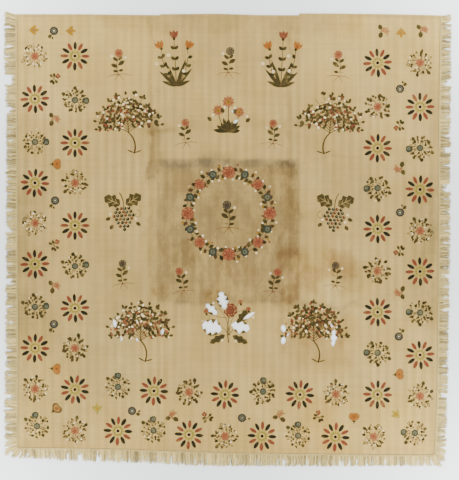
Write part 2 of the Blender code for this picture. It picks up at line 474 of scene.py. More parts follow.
@dataclass(frozen=True)
class Lie:
    """How the cloth lies: its old folds, its slow waves and the puckers that its stitches draw."""

    wave_height: float = 0.0009
    wave_bias: float = 0.0004
    pucker_height: float = 0.00045
    pucker_reach: float = 0.02
    pucker_pitch: float = 0.033

    def under(self, x: float, y: float) -> float:
        """Finds how far the cloth's underside is off the surface.

        Args:
            x: How far right the point is.
            y: How far up the point is.

        Returns:
            The height there.
        """
        folds = max(fold.lift(x, y) for fold in FOLDS)
        slow = noise.noise(Vector((x * 4.1, y * 1.9, 3.7)))
        quick = noise.noise(Vector((x * 11.0, y * 5.0, 8.2)))
        waves = max(0.0, self.wave_bias + self.wave_height * (slow + 0.55 * quick))
        off = min(abs(x - SEAM_LEFT_X), abs(x - SEAM_RIGHT_X))
        drawn = math.exp(-((off / self.pucker_reach) ** 2))
        beat = math.sin(TAU * y / self.pucker_pitch + 3.0 * noise.noise(Vector((x * 2.0, y * 9.0, 1.0))))
        return folds + waves + self.pucker_height * drawn * (0.5 + 0.5 * beat)


# Losses in the cloth.


@dataclass(frozen=True)
class Loss:
    """A hole eaten through the cloth, the shape of a stenciled leaf. Lean is from +Y, anticlockwise."""

    side: Side
    x: float
    y: float
    length: float
    width: float
    lean: float
    teeth: int = 1

    def outline(self, size: float = 1.0) -> Outline:
        """The leaf's outline in the coverlet's frame, at a scale about its middle."""
        return placed(toothed_leaf(self.length, self.width, self.teeth), self.x, self.y, self.lean, size)


LEAF_SIDE_POINTS = 6
TOOTH_LIFT = 0.1
# How far each tooth in turn reaches, and how far in the notch below it goes, as shares of the half width.
TEETH = ((0.96, 0.46), (1.12, 0.56), (0.88, 0.4), (1.04, 0.52))


def toothed_leaf(length: float, width: float, teeth: int = 1) -> Outline:
    """A pointed leaf about its middle, along Y, with teeth down each side.

    Args:
        length: From its stalk to its tip.
        width: Across its widest part.
        teeth: How many teeth each side has. One is a plain leaf.

    Returns:
        Its outline, anticlockwise.
    """
    count = LEAF_SIDE_POINTS if teeth == 1 else 2 * teeth
    sides: list[Outline] = []
    for first in (0, 1):
        side = []
        for i in range(1, count):
            share = i / count
            lift, reach = 0.0, 1.0
            if teeth > 1:
                number = (i // 2 + first) % len(TEETH)
                lift, reach = (TOOTH_LIFT, TEETH[number][0]) if i % 2 else (0.0, TEETH[number][1])
            half = 0.5 * width * math.sin(math.pi * share) ** 0.7 * reach
            side.append((half, (share - 0.5 + lift / teeth) * length))
        sides.append(side)
    right, left = sides
    mirrored = [(-across, along) for across, along in reversed(left)]
    return [(0.0, -0.5 * length), *right, (0.0, 0.5 * length), *mirrored]


def lobed_leaf(length: float, width: float, lobes: int) -> Outline:
    """A pointed leaf about its middle, along Y, with round lobes down each side.

    Args:
        length: From its stalk to its tip.
        width: Across its widest part.
        lobes: How many lobes each side has. One is a plain leaf.

    Returns:
        Its outline, anticlockwise.
    """
    count = LEAF_SIDE_POINTS * max(1, lobes - 1)
    side = []
    for i in range(count):
        share = i / count
        notch = 0.21 * (1.0 + math.cos(TAU * lobes * share)) if lobes > 1 else 0.0
        side.append((0.5 * width * math.sin(math.pi * share) ** 0.7 * (1.0 - notch), (share - 0.5) * length))
    return side + [(-across, -along) for across, along in side]


# (side, x, y, length, width, lean, teeth)
LOSSES = tuple(Loss(*row) for row in (
    (Side.CENTRE, -0.024, -0.306, 0.092, 0.06, 14.0, 4),
    (Side.CENTRE, -0.08, -0.35, 0.08, 0.044, 46.0, 3),
    (Side.CENTRE, -0.078, -0.44, 0.104, 0.088, 74.0, 4),
    (Side.CENTRE, 0.064, -0.438, 0.098, 0.066, -104.0, 3),
    (Side.CENTRE, 0.108, -0.382, 0.07, 0.018, -58.0),
    (Side.CENTRE, 0.279, -0.446, 0.04, 0.025, 14.0),
    (Side.CENTRE, 0.279, -0.506, 0.042, 0.025, -10.0),
    (Side.RIGHT, 0.53, -0.494, 0.088, 0.036, -4.0, 3),
    (Side.LEFT, -0.564, -0.42, 0.044, 0.019, 10.0),
    (Side.CENTRE, -0.326, -0.462, 0.036, 0.016, -15.0),
    (Side.CENTRE, 0.042, 0.59, 0.03, 0.016, -50.0),
))
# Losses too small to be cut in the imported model.
SMALL_LOSSES = tuple(Loss(*row) for row in (
    (Side.RIGHT, 0.52, -0.432, 0.024, 0.01, 22.0),
    (Side.CENTRE, 0.302, -0.476, 0.022, 0.008, -30.0),
    (Side.LEFT, -0.452, -0.502, 0.024, 0.01, 30.0),
    (Side.LEFT, -0.53, -0.5, 0.026, 0.01, -20.0),
    (Side.CENTRE, 0.024, 0.64, 0.018, 0.008, 20.0),
))


# Stencils.


class Dye(Enum):
    """The stencil paints. BARE is where a stencil leaves the cloth showing."""

    BARE = "bare"
    RED = "red"
    NAVY = "navy"
    BLACK = "black"
    CORAL = "coral"
    WINE = "wine"
    LIME = "lime"
    OLIVE = "olive"
    DARK_GREEN = "dark_green"
    BROWN = "brown"
    TEAL = "teal"
    SLATE = "slate"
    PALE_BLUE = "pale_blue"
    CREAM = "cream"
    PINK = "pink"
    YELLOW = "yellow"
    ORANGE = "orange"
    OCHRE = "ochre"


def disc(radius: float, count: int = 12) -> Outline:
    """A round outline."""
    return [(radius * math.cos(TAU * i / count), radius * math.sin(TAU * i / count)) for i in range(count)]


def scalloped(radius: float, lobes: int, depth: float = 0.18, per_lobe: int = 5) -> Outline:
    """A round outline whose edge is a row of lobes.

    Args:
        radius: Out to the lobes' ends.
        lobes: How many lobes it has.
        depth: How far the notches go in, as a share of the radius.
        per_lobe: Points to a lobe.

    Returns:
        The outline, anticlockwise.
    """
    points = []
    for i in range(lobes * per_lobe):
        angle = TAU * i / (lobes * per_lobe)
        reach = radius * (1.0 - depth * (1.0 - abs(math.cos(0.5 * lobes * angle)) ** 0.7))
        points.append((reach * math.cos(angle), reach * math.sin(angle)))
    return points


def petal(length: float, width: float, fullest: float = 0.5, count: int = 6, blunt: float = 0.8) -> Outline:
    """A pointed petal or leaf from the origin along +Y.

    Args:
        length: From its base to its tip.
        width: Across its widest part.
        fullest: Where along it is widest, as a share.
        count: Points down each side.
        blunt: How full its ends are. Less is fuller.

    Returns:
        The outline, anticlockwise.
    """
    bend = math.log(0.5) / math.log(fullest)
    side = []
    for i in range(count):
        share = i / count
        side.append((0.5 * width * math.sin(math.pi * share**bend) ** blunt, share * length))
    return side + [(0.0, length)] + [(-across, along) for across, along in reversed(side[1:])]


def heart(size: float, count: int = 18) -> Outline:
    """A heart with its point at the origin and its lobes up.

    Args:
        size: Its breadth.
        count: How many points it has.

    Returns:
        The outline.
    """
    points = []
    for i in range(count):
        angle = TAU * i / count - 0.5 * math.pi
        narrow = math.exp(-((math.cos(angle) / 0.35) ** 2))
        reach = 1.0 - 0.3 * narrow * max(0.0, math.sin(angle)) + 0.22 * narrow * max(0.0, -math.sin(angle))
        points.append((0.5 * size * reach * math.cos(angle), 0.42 * size * (1.0 + reach * math.sin(angle))))
    return points


def stem(path: Outline, width: float, end_width: float | None = None) -> Outline:
    """A thin stem along a path.

    Args:
        path: Points down its middle.
        width: Its width where it starts.
        end_width: Its width where it ends, or None for the same.

    Returns:
        The outline.
    """
    end_width = width if end_width is None else end_width
    right, left = [], []
    for i, (x, y) in enumerate(path):
        before, after = path[max(0, i - 1)], path[min(len(path) - 1, i + 1)]
        run = math.hypot(after[0] - before[0], after[1] - before[1])
        side = ((after[1] - before[1]) / run, -(after[0] - before[0]) / run)
        half = 0.5 * (width + (end_width - width) * i / (len(path) - 1))
        right.append((x + side[0] * half, y + side[1] * half))
        left.append((x - side[0] * half, y - side[1] * half))
    return right + left[::-1]


def bow(start: Point, end: Point, bulge: float, count: int = 7) -> Outline:
    """Points along a curve between two points.

    Args:
        start: Where it begins.
        end: Where it ends.
        bulge: How far its middle stands to the left of the straight line, as a share of the line.
        count: How many points.

    Returns:
        The points.
    """
    dx, dy = end[0] - start[0], end[1] - start[1]
    points = []
    for i in range(count):
        share = i / (count - 1)
        off = 4.0 * bulge * share * (1.0 - share)
        points.append((start[0] + dx * share - dy * off, start[1] + dy * share + dx * off))
    return points


def around(radius: float, degrees: float, x: float = 0.0, y: float = 0.0) -> Point:
    """The point at a distance and a direction, anticlockwise from +Y, from another point."""
    return x - radius * math.sin(math.radians(degrees)), y + radius * math.cos(math.radians(degrees))


@dataclass
class Stencil:
    """A cut stencil: shapes in order, each over the ones before it, and bare spots over them all."""

    seed: int = 1
    mirrored: bool = False
    bare_spots: tuple[Outline, ...] = ()
    shapes: list[tuple[Dye, Outline]] = field(default_factory=list)

    def __post_init__(self) -> None:
        """Draws the design once."""
        self.chance = random.Random(f"{type(self).__name__} {self.seed}")
        self.draw()
        self.shapes += [(Dye.BARE, outline) for outline in self.bare_spots]
        if self.mirrored:
            self.shapes = [(dye, [(-x, y) for x, y in reversed(outline)]) for dye, outline in self.shapes]

    def draw(self) -> None:
        """Adds the design's shapes."""
        raise NotImplementedError

    def add(self, dye: Dye, outline: Outline, x: float = 0.0, y: float = 0.0, turn: float = 0.0) -> None:
        """Adds one shape, placed."""
        self.shapes.append((dye, placed(outline, x, y, turn)))

    def add_leaf(self, x: float, y: float, turn: float, length: float, dye: Dye = Dye.OLIVE) -> None:
        """Adds a small pointed leaf that starts at a point."""
        self.add(dye, petal(length, 0.64 * length, 0.45, 4, 0.6), x, y, turn)

    def add_hollow_leaf(self, x: float, y: float, turn: float, length: float, dye: Dye = Dye.BROWN) -> None:
        """Adds a leaf whose paint is left at its rim only.

        Args:
            x: How far right it starts.
            y: How far up it starts.
            turn: Which way it points.
            length: Its length.
            dye: Its paint.
        """
        self.add_leaf(x, y, turn, length, dye)
        worn = petal(0.5 * length, 0.34 * length, 0.45, 3, 0.6)
        self.add(Dye.BARE, worn, *around(0.26 * length, turn, x, y), turn)

    def add_blossom(self, x: float, y: float, radius: float, dye: Dye, eye: Dye | None = None) -> None:
        """Adds a small five-lobed blossom.

        Args:
            x: How far right its middle is.
            y: How far up its middle is.
            radius: Out to its lobes' ends.
            dye: Its paint.
            eye: Its eye's paint, or None for no eye.
        """
        self.add(dye, scalloped(radius, 5, 0.34, 3), x, y, self.chance.uniform(0.0, 72.0))
        if eye:
            self.add(eye, disc(0.3 * radius, 6), x, y)

    def add_rose(self, x: float, y: float, radius: float, dye: Dye = Dye.CORAL, line: Dye = Dye.WINE) -> None:
        """Adds a full rose: rings of lobes with lines between them, and a darker heart.

        Args:
            x: How far right its middle is.
            y: How far up its middle is.
            radius: Out to its lobes' ends.
            dye: Its paint.
            line: Its lines' and heart's paint.
        """
        turn = self.chance.uniform(0.0, 60.0)
        self.add(dye, scalloped(radius, 8, 0.2), x, y, turn)
        for share, lobes, gap in ((0.76, 7, Dye.BARE), (0.45, 5, line)):
            self.add(gap, scalloped(share * radius, lobes, 0.26), x, y, turn + 40.0 * share)
            self.add(dye, scalloped((share - 0.065) * radius, lobes, 0.26), x, y, turn + 40.0 * share + 7.0)
        for spoke in (turn + 60.0 * i for i in range(6)):
            vein = petal(0.5 * radius, 0.12 * radius, 0.5, 3)
            self.add(line, vein, *around(0.42 * radius, spoke, x, y), spoke + 24.0)
        self.add(line, disc(0.16 * radius, 7), x, y)

    def add_blue_flower(self, x: float, y: float, radius: float, dye: Dye = Dye.TEAL) -> None:
        """Adds a round blue flower with a pale ring and a dark middle.

        Args:
            x: How far right its middle is.
            y: How far up its middle is.
            radius: Out to its lobes' ends.
            dye: Its darker paint.
        """
        turn = self.chance.uniform(0.0, 45.0)
        self.add(dye, scalloped(radius, 9, 0.12, 4), x, y, turn)
        self.add(Dye.PALE_BLUE, scalloped(0.58 * radius, 8, 0.24, 3), x, y, turn)
        middle = petal(0.62 * radius, 0.3 * radius, 0.5, 4)
        self.add(dye, middle, *around(0.3 * radius, turn + 180.0, x, y), turn)


@dataclass
class Rosette(Stencil):
    """Twelve slim petals, red and navy in turn, round a scalloped ring and a black eye."""

    petals: int = 12
    inner: float = 0.0312
    outer: float = 0.0748
    width: float = 0.0174

    def draw(self) -> None:
        """Draws the petals, the chain of scallops, the pale ring and the eye."""
        for i in range(self.petals):
            turn = 360.0 * i / self.petals
            length = (self.outer - self.inner) * self.chance.uniform(0.95, 1.03)
            width = self.width * self.chance.uniform(0.94, 1.06)
            spot = around(self.inner, turn)
            self.add(Dye.RED if i % 2 else Dye.NAVY, petal(length, width, 0.5, 8, 0.5), *spot, turn)
        self.add(Dye.LIME, scalloped(0.0296, self.petals, 0.1, 5))
        for i in range(self.petals):
            turn = 360.0 * (i + 0.5) / self.petals
            self.add(Dye.BARE, disc(0.0026, 7), *around(0.0246, turn))
            self.add(Dye.OLIVE, disc(0.0023, 6), *around(0.0196, turn + 15.0))
        self.add(Dye.BARE, disc(0.0152, 16))
        self.add(Dye.BLACK, disc(0.0078, 12))


class Wear(Enum):
    """How well a spray's leaves have lasted."""

    FRESH = 0
    MIXED = 1
    FADED = 2


@dataclass
class RoseSpray(Stencil):
    """A coral rose in a ring of small leaves, thin stems and white blossom."""

    wear: Wear = Wear.MIXED
    reach: float = 0.0645
    rose: float = 0.021
    leaf: float = 0.0186
    plumpness: float = 0.7

    def draw(self) -> None:
        """Draws stems, leaves and blossom outwards from the rose, and the rose on top."""
        faded = self.wear is Wear.FADED
        self.draw_stems(14, 0.016)
        self.draw_leaves({Wear.FRESH: 50, Wear.MIXED: 42, Wear.FADED: 30}[self.wear], 0.0235)
        for i in range({Wear.FRESH: 3, Wear.MIXED: 8, Wear.FADED: 17}[self.wear]):
            turn = GOLDEN_ANGLE * i + 60.0 + self.chance.uniform(-9.0, 9.0)
            spot = around(0.03 + (self.reach - 0.036) * self.chance.random(), turn)
            for lean in (-50.0, 20.0, 80.0):
                length = self.chance.uniform(0.0055, 0.0095)
                self.add(Dye.CREAM, petal(length, 0.62 * length, 0.5, 3), *spot, turn + lean + 10.0 * (i % 5))
            self.add(Dye.BROWN, disc(0.0014, 6), *spot)
        for i in range(14):
            spot = around(self.chance.uniform(0.024, self.reach), GOLDEN_ANGLE * i + 20.0)
            dye = Dye.CORAL if faded and i % 3 == 0 else Dye.BROWN
            self.add(dye, disc(self.chance.uniform(0.0016, 0.0026), 6), *spot)
        self.add_rose(0.0, 0.0, self.rose)

    def draw_stems(self, count: int, start: float) -> None:
        """Draws bowed stems out from the middle.

        Args:
            count: How many stems.
            start: How far out they start.
        """
        for i in range(count):
            turn = 360.0 * i / count + self.chance.uniform(-8.0, 8.0)
            reach = self.reach * self.chance.uniform(0.74, 0.96)
            end = around(reach, turn + self.chance.uniform(-16.0, 16.0))
            path = bow(around(start, turn), end, self.chance.uniform(-0.2, 0.2), 5)
            self.add(Dye.BROWN if i % 2 else Dye.OLIVE, stem(path, 0.0021, 0.0014))

    def draw_leaves(self, count: int, start: float) -> None:
        """Draws leaves spread evenly from a distance out to the reach. The worn ones are hollow.

        Args:
            count: How many leaves.
            start: How far out the first ones are.
        """
        hollow = {Wear.FRESH: 9, Wear.MIXED: 4, Wear.FADED: 2}[self.wear]
        dyes = (Dye.DARK_GREEN, Dye.BROWN, Dye.OLIVE, Dye.OLIVE, Dye.BROWN, Dye.OLIVE)
        for i in range(count):
            share = (i + 0.5) / count
            radius = start + (self.reach - start - 0.01) * share**0.8
            turn = GOLDEN_ANGLE * i + self.chance.uniform(-9.0, 9.0)
            lean = turn + self.chance.uniform(-60.0, 60.0)
            length = self.leaf * (1.1 if self.wear is Wear.FRESH else 1.0) * (0.66 + 0.34 * share)
            length *= self.chance.uniform(0.85, 1.12) * (1.24 if i % 3 == 0 else 0.84)
            spot = around(radius, turn)
            if i % hollow == 1:
                self.add_hollow_leaf(*spot, lean, length)
            else:
                self.add(dyes[i % 6], petal(length, self.plumpness * length, 0.48, 5, 0.6), *spot, lean)


@dataclass
class BlueSpray(RoseSpray):
    """A blue flower in a round of dark leaves, with a second flower at one side."""

    wear: Wear = Wear.FRESH
    leaf: float = 0.0165
    plumpness: float = 0.82
    flower: float = 0.017
    partner: float = 0.057

    def draw(self) -> None:
        """Draws stems, leaves and flecks, then both flowers. The second one stands at +X."""
        self.draw_stems(13, 0.012)
        self.draw_leaves({Wear.FRESH: 46, Wear.MIXED: 40, Wear.FADED: 14}[self.wear], 0.019)
        for i in range(16):
            turn = GOLDEN_ANGLE * i + 95.0 + self.chance.uniform(-9.0, 9.0)
            radius = 0.022 + (self.reach - 0.022) * ((i + 0.5) / 16) ** 0.7
            dye = Dye.CREAM if i % 5 == 0 else Dye.DARK_GREEN
            self.add(dye, disc(self.chance.uniform(0.0022, 0.0038), 7), *around(radius, turn))
        self.add(Dye.BROWN, stem(bow((0.01, 0.0), (self.partner, 0.0), 0.1, 5), 0.0018))
        self.add_blue_flower(0.0, 0.0, self.flower)
        self.add_blue_flower(self.partner, 0.004, 0.9 * self.flower)
        self.add_blue_flower(self.partner, -0.002, 0.9 * self.flower)


@dataclass
class YellowBud(Stencil):
    """A three-pronged yellow bud that opens towards +Y."""

    dye: Dye = Dye.YELLOW
    line: Dye = Dye.OCHRE

    def draw(self) -> None:
        """Draws the prongs over a small cup."""
        self.add(Dye.OLIVE, disc(0.0017, 6), 0.0, -0.0118)
        self.add(self.dye, petal(0.015, 0.015, 0.5, 6, 0.6), 0.0, -0.011)
        for turn, length in ((-42.0, 0.018), (42.0, 0.018), (0.0, 0.0215)):
            self.add(self.dye, petal(length, 0.008, 0.5, 4, 0.6), 0.0, -0.0075, turn)
        for turn in (-22.0, 0.0, 22.0):
            self.add(self.line, petal(0.0125, 0.0022, 0.5, 4), 0.0, -0.0065, turn)


@dataclass
class BlueRound(Stencil):
    """A round slate flower on a short stem with two leaves, which hang towards -Y."""

    def draw(self) -> None:
        """Draws the stem and leaves, then the flower's rings."""
        self.add(Dye.BROWN, stem(bow((0.0, -0.008), (-0.011, -0.024), -0.15, 4), 0.0017))
        self.add(Dye.OLIVE, petal(0.0135, 0.01, 0.5, 5, 0.6), -0.0085, -0.011, 140.0)
        self.add(Dye.DARK_GREEN, petal(0.0095, 0.0056, 0.5, 4, 0.6), -0.006, -0.017, 200.0)
        self.add(Dye.SLATE, scalloped(0.0132, 9, 0.08, 4))
        self.add(Dye.PALE_BLUE, scalloped(0.008, 8, 0.18, 3))
        self.add(Dye.SLATE, scalloped(0.005, 7, 0.2, 3))
        self.add(Dye.CREAM, disc(0.0021, 7))


@dataclass
class BerrySprig(Stencil):
    """A little sprig of leaves and red berries."""

    def draw(self) -> None:
        """Draws a forked stem, five leaves and a cluster of berries."""
        for *end, bulge in (
            (0.014, 0.012, 0.14), (-0.013, 0.01, -0.14), (0.008, -0.012, 0.1), (-0.01, -0.014, 0.1),
        ):
            self.add(Dye.BROWN, stem(bow((0.0, -0.003), end, bulge, 4), 0.0016))
        for x, y, turn in (
            (-0.004, 0.003, 48.0), (-0.004, -0.005, 140.0), (0.003, -0.006, -140.0), (0.001, 0.003, 4.0),
            (-0.002, -0.008, 182.0),
        ):
            dye = Dye.OLIVE if turn < 60.0 else Dye.DARK_GREEN
            self.add(dye, petal(0.0132, 0.0086, 0.55, 4, 0.6), x, y, turn)
        for radius, *spot in (
            (0.0042, 0.0125, 0.0105), (0.0038, 0.0175, 0.0055), (0.0036, 0.0085, 0.0035),
            (0.0034, 0.013, 0.001),
        ):
            self.add(Dye.RED, disc(radius, 8), *spot)


@dataclass
class PinkSprig(Stencil):
    """A faded, rayed pink flower beside two broad leaves."""

    def draw(self) -> None:
        """Draws the leaves up one side and the rays of the flower on the other."""
        self.add(Dye.BROWN, stem(bow((-0.008, -0.016), (0.004, 0.008), 0.14, 4), 0.0016))
        self.add(Dye.OLIVE, petal(0.015, 0.0108, 0.5, 5, 0.55), -0.004, 0.0025, 24.0)
        self.add(Dye.OLIVE, petal(0.0165, 0.0118, 0.5, 5, 0.55), -0.0035, -0.003, 162.0)
        for i in range(9):
            turn = -150.0 + 30.0 * i
            length = 0.0105 if i % 2 else 0.0135
            self.add(Dye.PINK, petal(length, 0.0038, 0.55, 4, 0.6), 0.0055, -0.001, turn)
        self.add(Dye.PINK, scalloped(0.0062, 6, 0.24, 3), 0.0065, -0.001)
        self.add(Dye.CORAL, disc(0.0024, 7), 0.007, -0.001)


@dataclass
class HeartTulip(Stencil):
    """An orange heart-shaped tulip that opens towards +Y, on a dark calyx."""

    rim: Dye = Dye.OCHRE
    middle: Dye = Dye.ORANGE
    breadth: float = 1.12

    def draw(self) -> None:
        """Draws the heart, its darker middle, a few veins, and the calyx under it."""
        for dye, size, y in ((self.rim, 0.03, -0.012), (self.middle, 0.0215, -0.009)):
            self.add(dye, [(self.breadth * across, along) for across, along in heart(size)], 0.0, y)
        for turn in (-24.0, 0.0, 24.0):
            self.add(Dye.WINE, petal(0.0125, 0.0016, 0.5, 4), 0.0, -0.0065, turn)
        for turn in (-50.0, 0.0, 50.0):
            self.add(Dye.DARK_GREEN, petal(0.0066, 0.0034, 0.5, 4), 0.0, -0.017, turn)
        self.add(Dye.DARK_GREEN, stem([(0.0, -0.0225), (0.0, -0.015)], 0.002))


@dataclass
class Sprig(Stencil):
    """A small upright sprig: a flower over paired leaves and curled roots."""

    bloom: Dye = Dye.CORAL

    def draw(self) -> None:
        """Draws the stem, its leaves, the flower and two buds."""
        self.add(Dye.BROWN, stem(bow((0.0, -0.046), (0.006, 0.02), 0.1), 0.0024, 0.0016))
        for length, *place in (
            (0.026, 0.0, -0.02, 62.0), (0.028, 0.0, -0.014, -58.0), (0.022, 0.002, 0.0, 50.0),
            (0.02, 0.002, 0.002, -48.0), (0.018, 0.0, -0.034, 80.0), (0.018, 0.0, -0.032, -84.0),
        ):
            self.add(Dye.OLIVE, petal(length, 0.5 * length, 0.55, 5), *place)
            self.add(Dye.DARK_GREEN, petal(0.8 * length, 0.0016, 0.5, 4), *place)
        for turn in (-38.0, -12.0, 14.0, 40.0):
            root = bow((0.0, -0.044), around(0.066, 180.0 + turn), 0.002 * turn)
            self.add(Dye.WINE, stem(root, 0.0018, 0.001))
        self.add_rose(0.006, 0.027, 0.0145, self.bloom)
        self.add_blossom(-0.018, 0.019, 0.005, Dye.CREAM, Dye.YELLOW)
        self.add_blossom(0.027, 0.01, 0.0046, Dye.CREAM, Dye.YELLOW)


@dataclass
class TulipSpray(Stencil):
    """Three tulips on bowed stems, with long blades at the foot."""

    def draw(self) -> None:
        """Draws the blades, the stems with side leaves, and the tulips."""
        for turn, length in (
            (-44.0, 0.095), (-22.0, 0.115), (22.0, 0.112), (46.0, 0.092), (-70.0, 0.06), (68.0, 0.062),
        ):
            self.add(Dye.OLIVE, petal(length, 0.0145, 0.42, 9), 0.0, -0.1, turn)
            self.add(Dye.DARK_GREEN, petal(0.9 * length, 0.0022, 0.5, 9), 0.0, -0.1, turn)
        for x, y, turn, dye in (
            (-0.052, 0.052, 24.0, Dye.ORANGE), (0.0, 0.09, 0.0, Dye.RED), (0.052, 0.048, -26.0, Dye.ORANGE),
        ):
            path = bow((0.0, -0.1), (x, y), 0.004 * turn, 10)
            self.add(Dye.BROWN, stem(path, 0.0034, 0.0022))
            for i in (3, 5, 7):
                self.add_leaf(*path[i], turn - 48.0, 0.021, Dye.DARK_GREEN)
                self.add_leaf(*path[i], turn + 48.0, 0.021)
            for lean in (-27.0, 27.0, 0.0):
                self.add(dye, petal(0.036, 0.015, 0.48, 6), x, y, turn + lean)
            for lean in (-14.0, 14.0):
                self.add(Dye.WINE, petal(0.028, 0.0022, 0.5, 5), x, y, turn + lean)
            self.add(Dye.DARK_GREEN, scalloped(0.0062, 5, 0.3, 3), x, y)
        for x, y in (
            (-0.074, -0.006), (-0.026, 0.026), (0.03, 0.022), (0.076, -0.01), (-0.03, -0.034), (0.032, -0.04),
        ):
            self.add_blossom(x, y, 0.0072, Dye.CREAM, Dye.YELLOW)


@dataclass
class DaisyClump(Stencil):
    """Daisies and buds over a tuft of leaves."""

    def draw(self) -> None:
        """Draws the tuft, the stems and three daisies."""
        for i in range(9):
            blade = petal(0.04 + 0.006 * (i % 3), 0.0125, 0.6, 6)
            self.add(Dye.OLIVE if i % 2 else Dye.DARK_GREEN, blade, 0.0, -0.052, -80.0 + 20.0 * i)
        for x, y, radius in ((-0.034, 0.022, 0.019), (0.036, 0.016, 0.018), (0.0, 0.05, 0.021)):
            self.add(Dye.BROWN, stem(bow((0.0, -0.05), (x, y), -3.0 * x), 0.0024))
            for i in range(10):
                dye = Dye.CORAL if i % 2 else Dye.PINK
                self.add(dye, petal(radius, 0.42 * radius, 0.62, 5), x, y, 36.0 * i + 9.0)
            self.add(Dye.YELLOW, disc(0.34 * radius, 9), x, y)
            self.add(Dye.BROWN, disc(0.14 * radius, 6), x, y)
        for x, y, turn in (
            (-0.056, -0.014, 46.0), (0.058, -0.018, -46.0), (-0.016, 0.012, 20.0), (0.018, 0.01, -20.0),
        ):
            self.add_leaf(x, y, turn, 0.02)
            self.add_blossom(x + 0.004, y + 0.02, 0.0045, Dye.CREAM)


@dataclass
class Bough(Stencil):
    """A leafy bough: twigs branch to each side of a stem and carry leaves, fruit and blossom."""

    twigs: int = 13
    spread: float = 80.0
    reach: float = 0.128
    fruit: Dye = Dye.RED
    fruit_share: float = 0.26
    blossom_share: float = 0.3

    def draw(self) -> None:
        """Draws the stem, then each twig with what it carries."""
        self.add(Dye.BROWN, stem(bow((0.016, -0.118), (0.0, -0.04), -0.16), 0.0062, 0.0044))
        self.add(Dye.BROWN, stem([(0.0, -0.042), (0.001, -0.018), (0.0, 0.014)], 0.0044, 0.0018))
        for turn in (62.0, -74.0):
            self.add(Dye.BROWN, petal(0.03, 0.0052, 0.5, 4), 0.016, -0.116, turn)
        for i in range(self.twigs):
            turn = self.spread * (2.0 * i / (self.twigs - 1) - 1.0)
            length = self.reach * (1.0 - 0.2 * abs(turn) / self.spread) * self.chance.uniform(0.92, 1.06)
            tip = around(length, turn)
            end = (1.12 * tip[0], tip[1] - 0.042 + 0.012 * math.cos(math.radians(turn)))
            fork = (0.0, -0.04 + 0.052 * (1.0 - abs(turn) / self.spread))
            self.draw_twig(bow(fork, end, -0.0016 * turn, 9), turn, i)

    def draw_twig(self, path: Outline, turn: float, number: int) -> None:
        """Draws one twig.

        Args:
            path: The points down its middle.
            turn: Which way it points.
            number: Its place in the fan, which sets what it carries where.
        """
        dyes = (Dye.OLIVE, Dye.DARK_GREEN, Dye.BROWN, Dye.OLIVE)
        self.add(Dye.BROWN, stem(path, 0.003, 0.0014))
        for k in range(2 if number % 2 else 3, len(path)):
            along = self.chance.random()
            x, y = (a + (b - a) * along for a, b in zip(path[k - 1], path[k]))
            for side in (-1.0, 1.0):
                lean = turn + side * self.chance.uniform(20.0, 95.0)
                self.add_leaf(x, y, lean, self.chance.uniform(0.0125, 0.0185), dyes[(k + number) % 4])
                off = self.chance.uniform(0.004, 0.014)
                spot = around(off, turn + side * self.chance.uniform(40.0, 140.0), x, y)
                if self.chance.random() < self.fruit_share:
                    self.add(self.fruit, disc(self.chance.uniform(0.0038, 0.0048), 8), *spot)
                elif self.chance.random() < self.blossom_share:
                    self.add_blossom(*spot, self.chance.uniform(0.0036, 0.0056), Dye.CREAM)
        self.add_leaf(*path[-1], turn, 0.015)


@dataclass
class VineCluster(Stencil):
    """A bunch of round berries under two broad leaves and a curled tendril."""

    def draw(self) -> None:
        """Draws the leaves, the tendril and rows of berries that narrow to a point."""
        self.add(Dye.BROWN, stem(bow((-0.01, 0.088), (0.0, 0.02), 0.1), 0.004, 0.0026))
        for x, turn, lobes in ((-0.012, 60.0, 3), (0.014, -62.0, 3)):
            self.add(Dye.OLIVE, placed(lobed_leaf(0.07, 0.056, lobes), 0.0, 0.032), x, 0.042, turn)
            self.add(Dye.BARE, petal(0.058, 0.0026, 0.4, 6), x, 0.042, turn)
            for along in (0.012, 0.028):
                for lean in (-42.0, 42.0):
                    spot = placed([(0.0, along)], x, 0.042, turn)[0]
                    self.add(Dye.BARE, petal(0.022, 0.002, 0.4, 4), *spot, turn + lean)
        curl = [around(0.018 * (1.0 - 0.09 * i), -40.0 * i) for i in range(10)]
        self.add(Dye.BROWN, stem(placed(curl, 0.052, 0.0), 0.0018, 0.001))
        for row in range(7):
            count = (4, 5, 6, 5, 4, 3, 1)[row]
            for k in range(count):
                x = 0.0145 * (k - 0.5 * (count - 1)) + self.chance.uniform(-0.001, 0.001)
                y = 0.026 - 0.0135 * row + self.chance.uniform(-0.001, 0.001)
                dye = (Dye.NAVY, Dye.TEAL, Dye.WINE)[(row + 2 * k) % 3]
                self.add(dye, disc(0.0066, 9), x, y)
                self.add(Dye.CREAM, disc(0.0013, 5), x - 0.002, y + 0.0022)
        for x, y, turn in ((-0.05, -0.006, 110.0), (-0.042, -0.034, 140.0), (0.046, -0.03, -130.0)):
            self.add_leaf(x, y, turn, 0.022, Dye.OLIVE)
            self.add_blossom(x, y + 0.014, 0.0052, Dye.CREAM)


